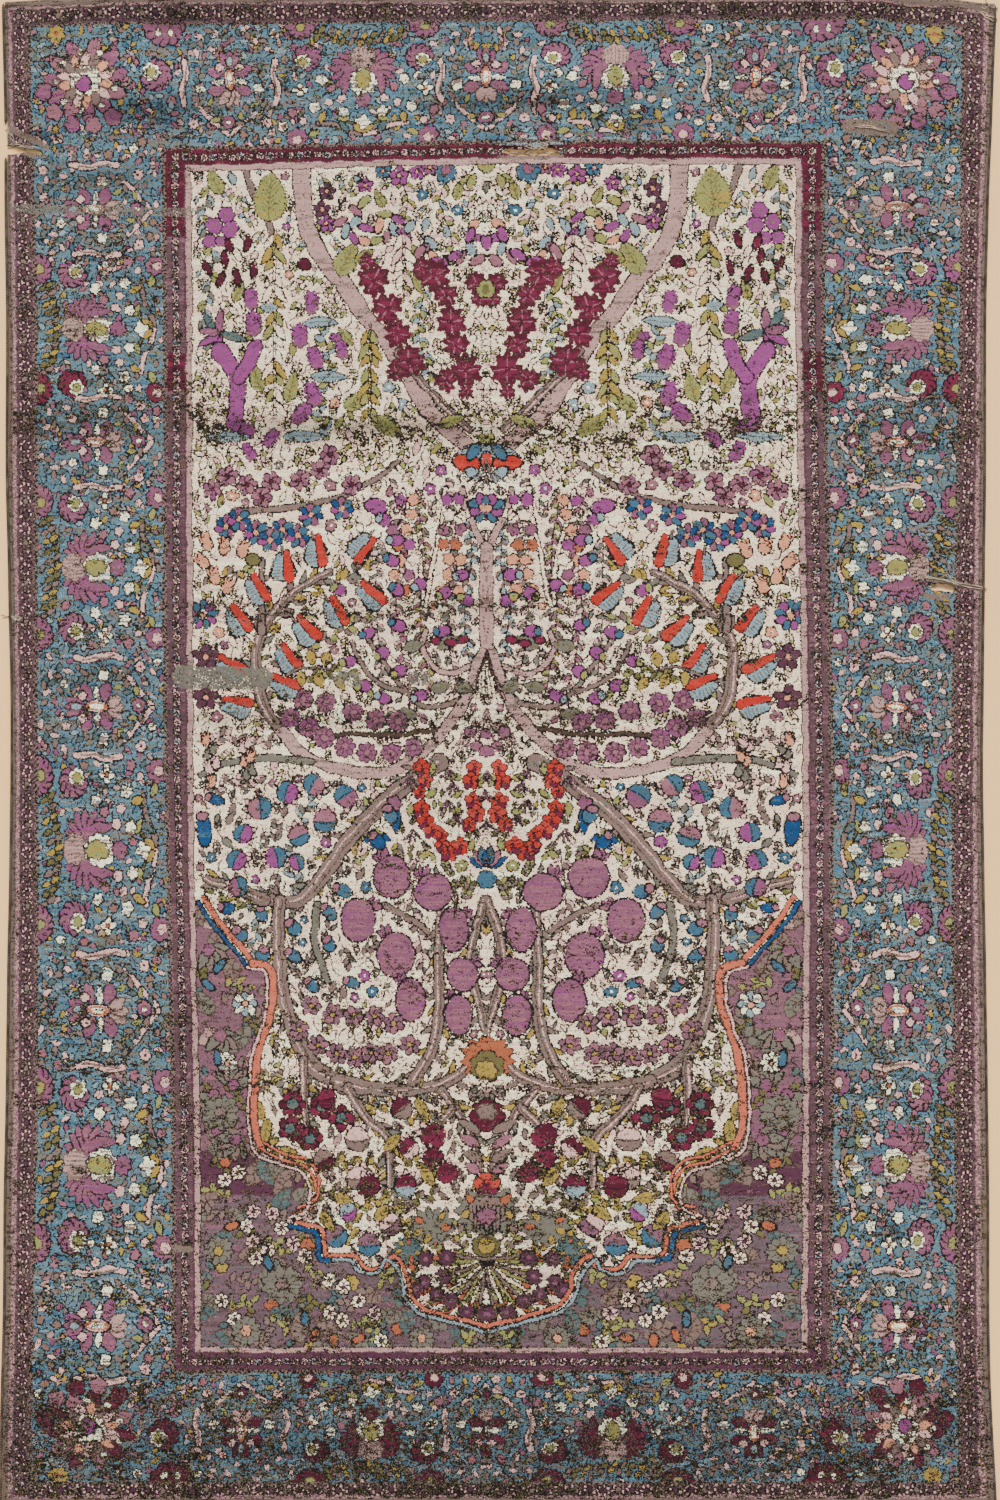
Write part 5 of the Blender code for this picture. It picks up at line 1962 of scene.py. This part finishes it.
# Loose threads, in columns and rows of the view: start, end, how many, how far apart they lie, how much they curl
THREADS = (
    ((505, 127), (511, 141), 2, 2.0, 3.0),
    ((524, 149), (548, 146), 5, 2.2, 3.5),
    ((508, 152), (530, 155), 3, 1.5, 1.2),
    ((536, 154), (560, 153), 2, 1.5, 1.2),
    ((924, 578), (986, 589), 3, 1.6, 1.2),
    ((943, 575), (957, 584), 3, 2.0, 3.0),
    ((930, 585), (952, 590), 2, 2.0, 1.0),
    ((1, 615), (22, 619), 2, 1.2, 1.5),
    ((984, 3), (997, 9), 4, 4.0, 3.0),
    ((983, 14), (996, 21), 3, 3.0, 2.0),
    ((8, 146), (34, 149), 4, 2.0, 1.6),
    ((7, 128), (13, 143), 3, 1.6, 2.0),
    ((855, 127), (886, 130), 3, 3.0, 1.2),
)
THREAD_POINTS = 14


class RUG_OT_pull_threads(bpy.types.Operator):
    """Leaves loose warps and wefts at the tears and the frayed corner"""

    bl_idname = "rug.pull_threads"
    bl_label = "Pull the loose threads"

    def execute(self, context):
        sizes, colours = context.scene.rug_sizes, context.scene.rug_colours
        random = np.random.RandomState(sizes.seed + 1)
        sheet = bpy.data.objects["rug_sheet"]
        tree = BVHTree.FromObject(sheet, context.evaluated_depsgraph_get())
        curve = bpy.data.curves.new("loose_threads", "CURVE")
        curve.dimensions = "3D"
        curve.bevel_depth = sizes.thread / 2
        curve.bevel_resolution = 1
        curve.use_fill_caps = True
        for start, end, count, apart, curl in THREADS:
            for _ in range(count):
                route = self.route(tree, start, end, apart, curl, sizes.thread / 2, random)
                spline = curve.splines.new("POLY")
                spline.points.add(len(route) - 1)
                for point, place in zip(spline.points, route):
                    point.co = (*place, 1.0)
        threads = bpy.data.objects.new("loose_threads", curve)
        context.scene.collection.objects.link(threads)
        activate(threads)
        bpy.ops.object.convert(target="MESH")
        loose = tuple(colours.loose)
        threads.data.materials.append(thread_finish("loose_thread", tuple(0.75 * c for c in loose), loose))
        threads.data.shade_smooth()
        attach(threads, "root")
        return {"FINISHED"}

    def route(self, tree, start, end, apart, curl, radius, random):
        """Places of one thread, lying on the sheet or, past it, on the floor."""
        share = np.linspace(0, 1, THREAD_POINTS)
        ends = np.array([start, end], float) + random.uniform(-apart, apart, (2, 2))
        along = ends[1] - ends[0]
        side = np.array([-along[1], along[0]]) / np.hypot(*along)
        bend = np.sin(share * random.uniform(3, 7) + random.uniform(0, 6)) * 0.6
        wave = curl * (bend + 0.4 * np.sin(share * 11 + random.uniform(0, 6)))
        places = ends[0] + share[:, None] * along + wave[:, None] * side
        x, y = to_world(places[:, 0], places[:, 1])
        x = np.clip(x, CAD_BOX[0][0], CAD_BOX[1][0])
        y = np.clip(y, CAD_BOX[0][1], CAD_BOX[1][1])
        hits = [tree.ray_cast(Vector((a, b, PROBE_HEIGHT)), Vector((0, 0, -1)))[0] for a, b in zip(x, y)]
        z = np.array([hit.z if hit else 0.0 for hit in hits])
        z = np.maximum(np.maximum(z, np.r_[z[1:], z[-1]]), np.r_[z[0], z[:-1]]) + radius
        return list(zip(x.tolist(), y.tolist(), z.tolist()))


FLOOR_SIZE = 12.0
SUN_STRENGTH = 6.5
SUN_WIDTH = radians(28)
SUN_COLOUR = (1.0, 0.975, 0.94)
SUN_FROM = (0.12, 1.0, 0.78)
SKY_STRENGTH = 0.75
SKY_COLOUR = (1.0, 0.99, 0.97, 1.0)
CAMERA_PLACE = (2.0 * MM, 0.0, 4.5)
VIEW_LENGTH = 2.025
SENSOR = 36.0


class RUG_OT_set_stage(bpy.types.Operator):
    """Adds the floor, the soft light and the camera straight above"""

    bl_idname = "rug.set_stage"
    bl_label = "Set the stage"

    def execute(self, context):
        colours = context.scene.rug_colours
        bpy.ops.mesh.primitive_plane_add(size=FLOOR_SIZE, location=(0, 0, 0))
        floor = context.active_object
        floor.name = "floor"
        floor.data.materials.append(floor_finish("pale_floor", tuple(colours.floor)))

        sun = bpy.data.lights.new("soft_sun", "SUN")
        sun.energy = SUN_STRENGTH
        sun.angle = SUN_WIDTH
        sun.color = SUN_COLOUR
        lamp = bpy.data.objects.new("soft_sun", sun)
        context.scene.collection.objects.link(lamp)
        lamp.rotation_euler = Vector(SUN_FROM).to_track_quat("Z", "Y").to_euler()
        world = bpy.data.worlds.new("studio")
        world.use_nodes = True
        sky = world.node_tree.nodes["Background"].inputs
        sky["Color"].default_value = SKY_COLOUR
        sky["Strength"].default_value = SKY_STRENGTH
        context.scene.world = world

        camera = bpy.data.cameras.new("camera")
        camera.sensor_width = SENSOR
        camera.lens = SENSOR / 2 * CAMERA_PLACE[2] / (VIEW_LENGTH / 2)
        camera.clip_end = 100.0
        eye = bpy.data.objects.new("camera", camera)
        context.scene.collection.objects.link(eye)
        eye.location = CAMERA_PLACE
        context.scene.camera = eye
        return {"FINISHED"}


class RUG_PT_panel(bpy.types.Panel):
    """Lists the steps that lay the rug"""

    bl_idname = "RUG_PT_panel"
    bl_label = "Worn silk rug"
    bl_space_type = "VIEW_3D"
    bl_region_type = "UI"
    bl_category = "Rug"

    def draw(self, context):
        for group in (context.scene.rug_sizes, context.scene.rug_colours):
            for name in group.bl_rna.properties.keys():
                if name not in ("rna_type", "name"):
                    self.layout.prop(group, name)
        for step in STEPS:
            self.layout.operator(step.bl_idname)


STEPS = (RUG_OT_lay_sheet, RUG_OT_wind_cords, RUG_OT_pull_threads, RUG_OT_set_stage)
CLASSES = (RugSizes, RugColours, *STEPS, RUG_PT_panel)


def register():
    for thing in CLASSES:
        bpy.utils.register_class(thing)
    bpy.types.Scene.rug_sizes = bpy.props.PointerProperty(type=RugSizes)
    bpy.types.Scene.rug_colours = bpy.props.PointerProperty(type=RugColours)


def unregister():
    del bpy.types.Scene.rug_colours
    del bpy.types.Scene.rug_sizes
    for thing in reversed(CLASSES):
        bpy.utils.unregister_class(thing)


def main():
    register()
    for step in (bpy.ops.rug.lay_sheet, bpy.ops.rug.wind_cords, bpy.ops.rug.pull_threads, bpy.ops.rug.set_stage):
        step()


if __name__ == "__main__":
    main()
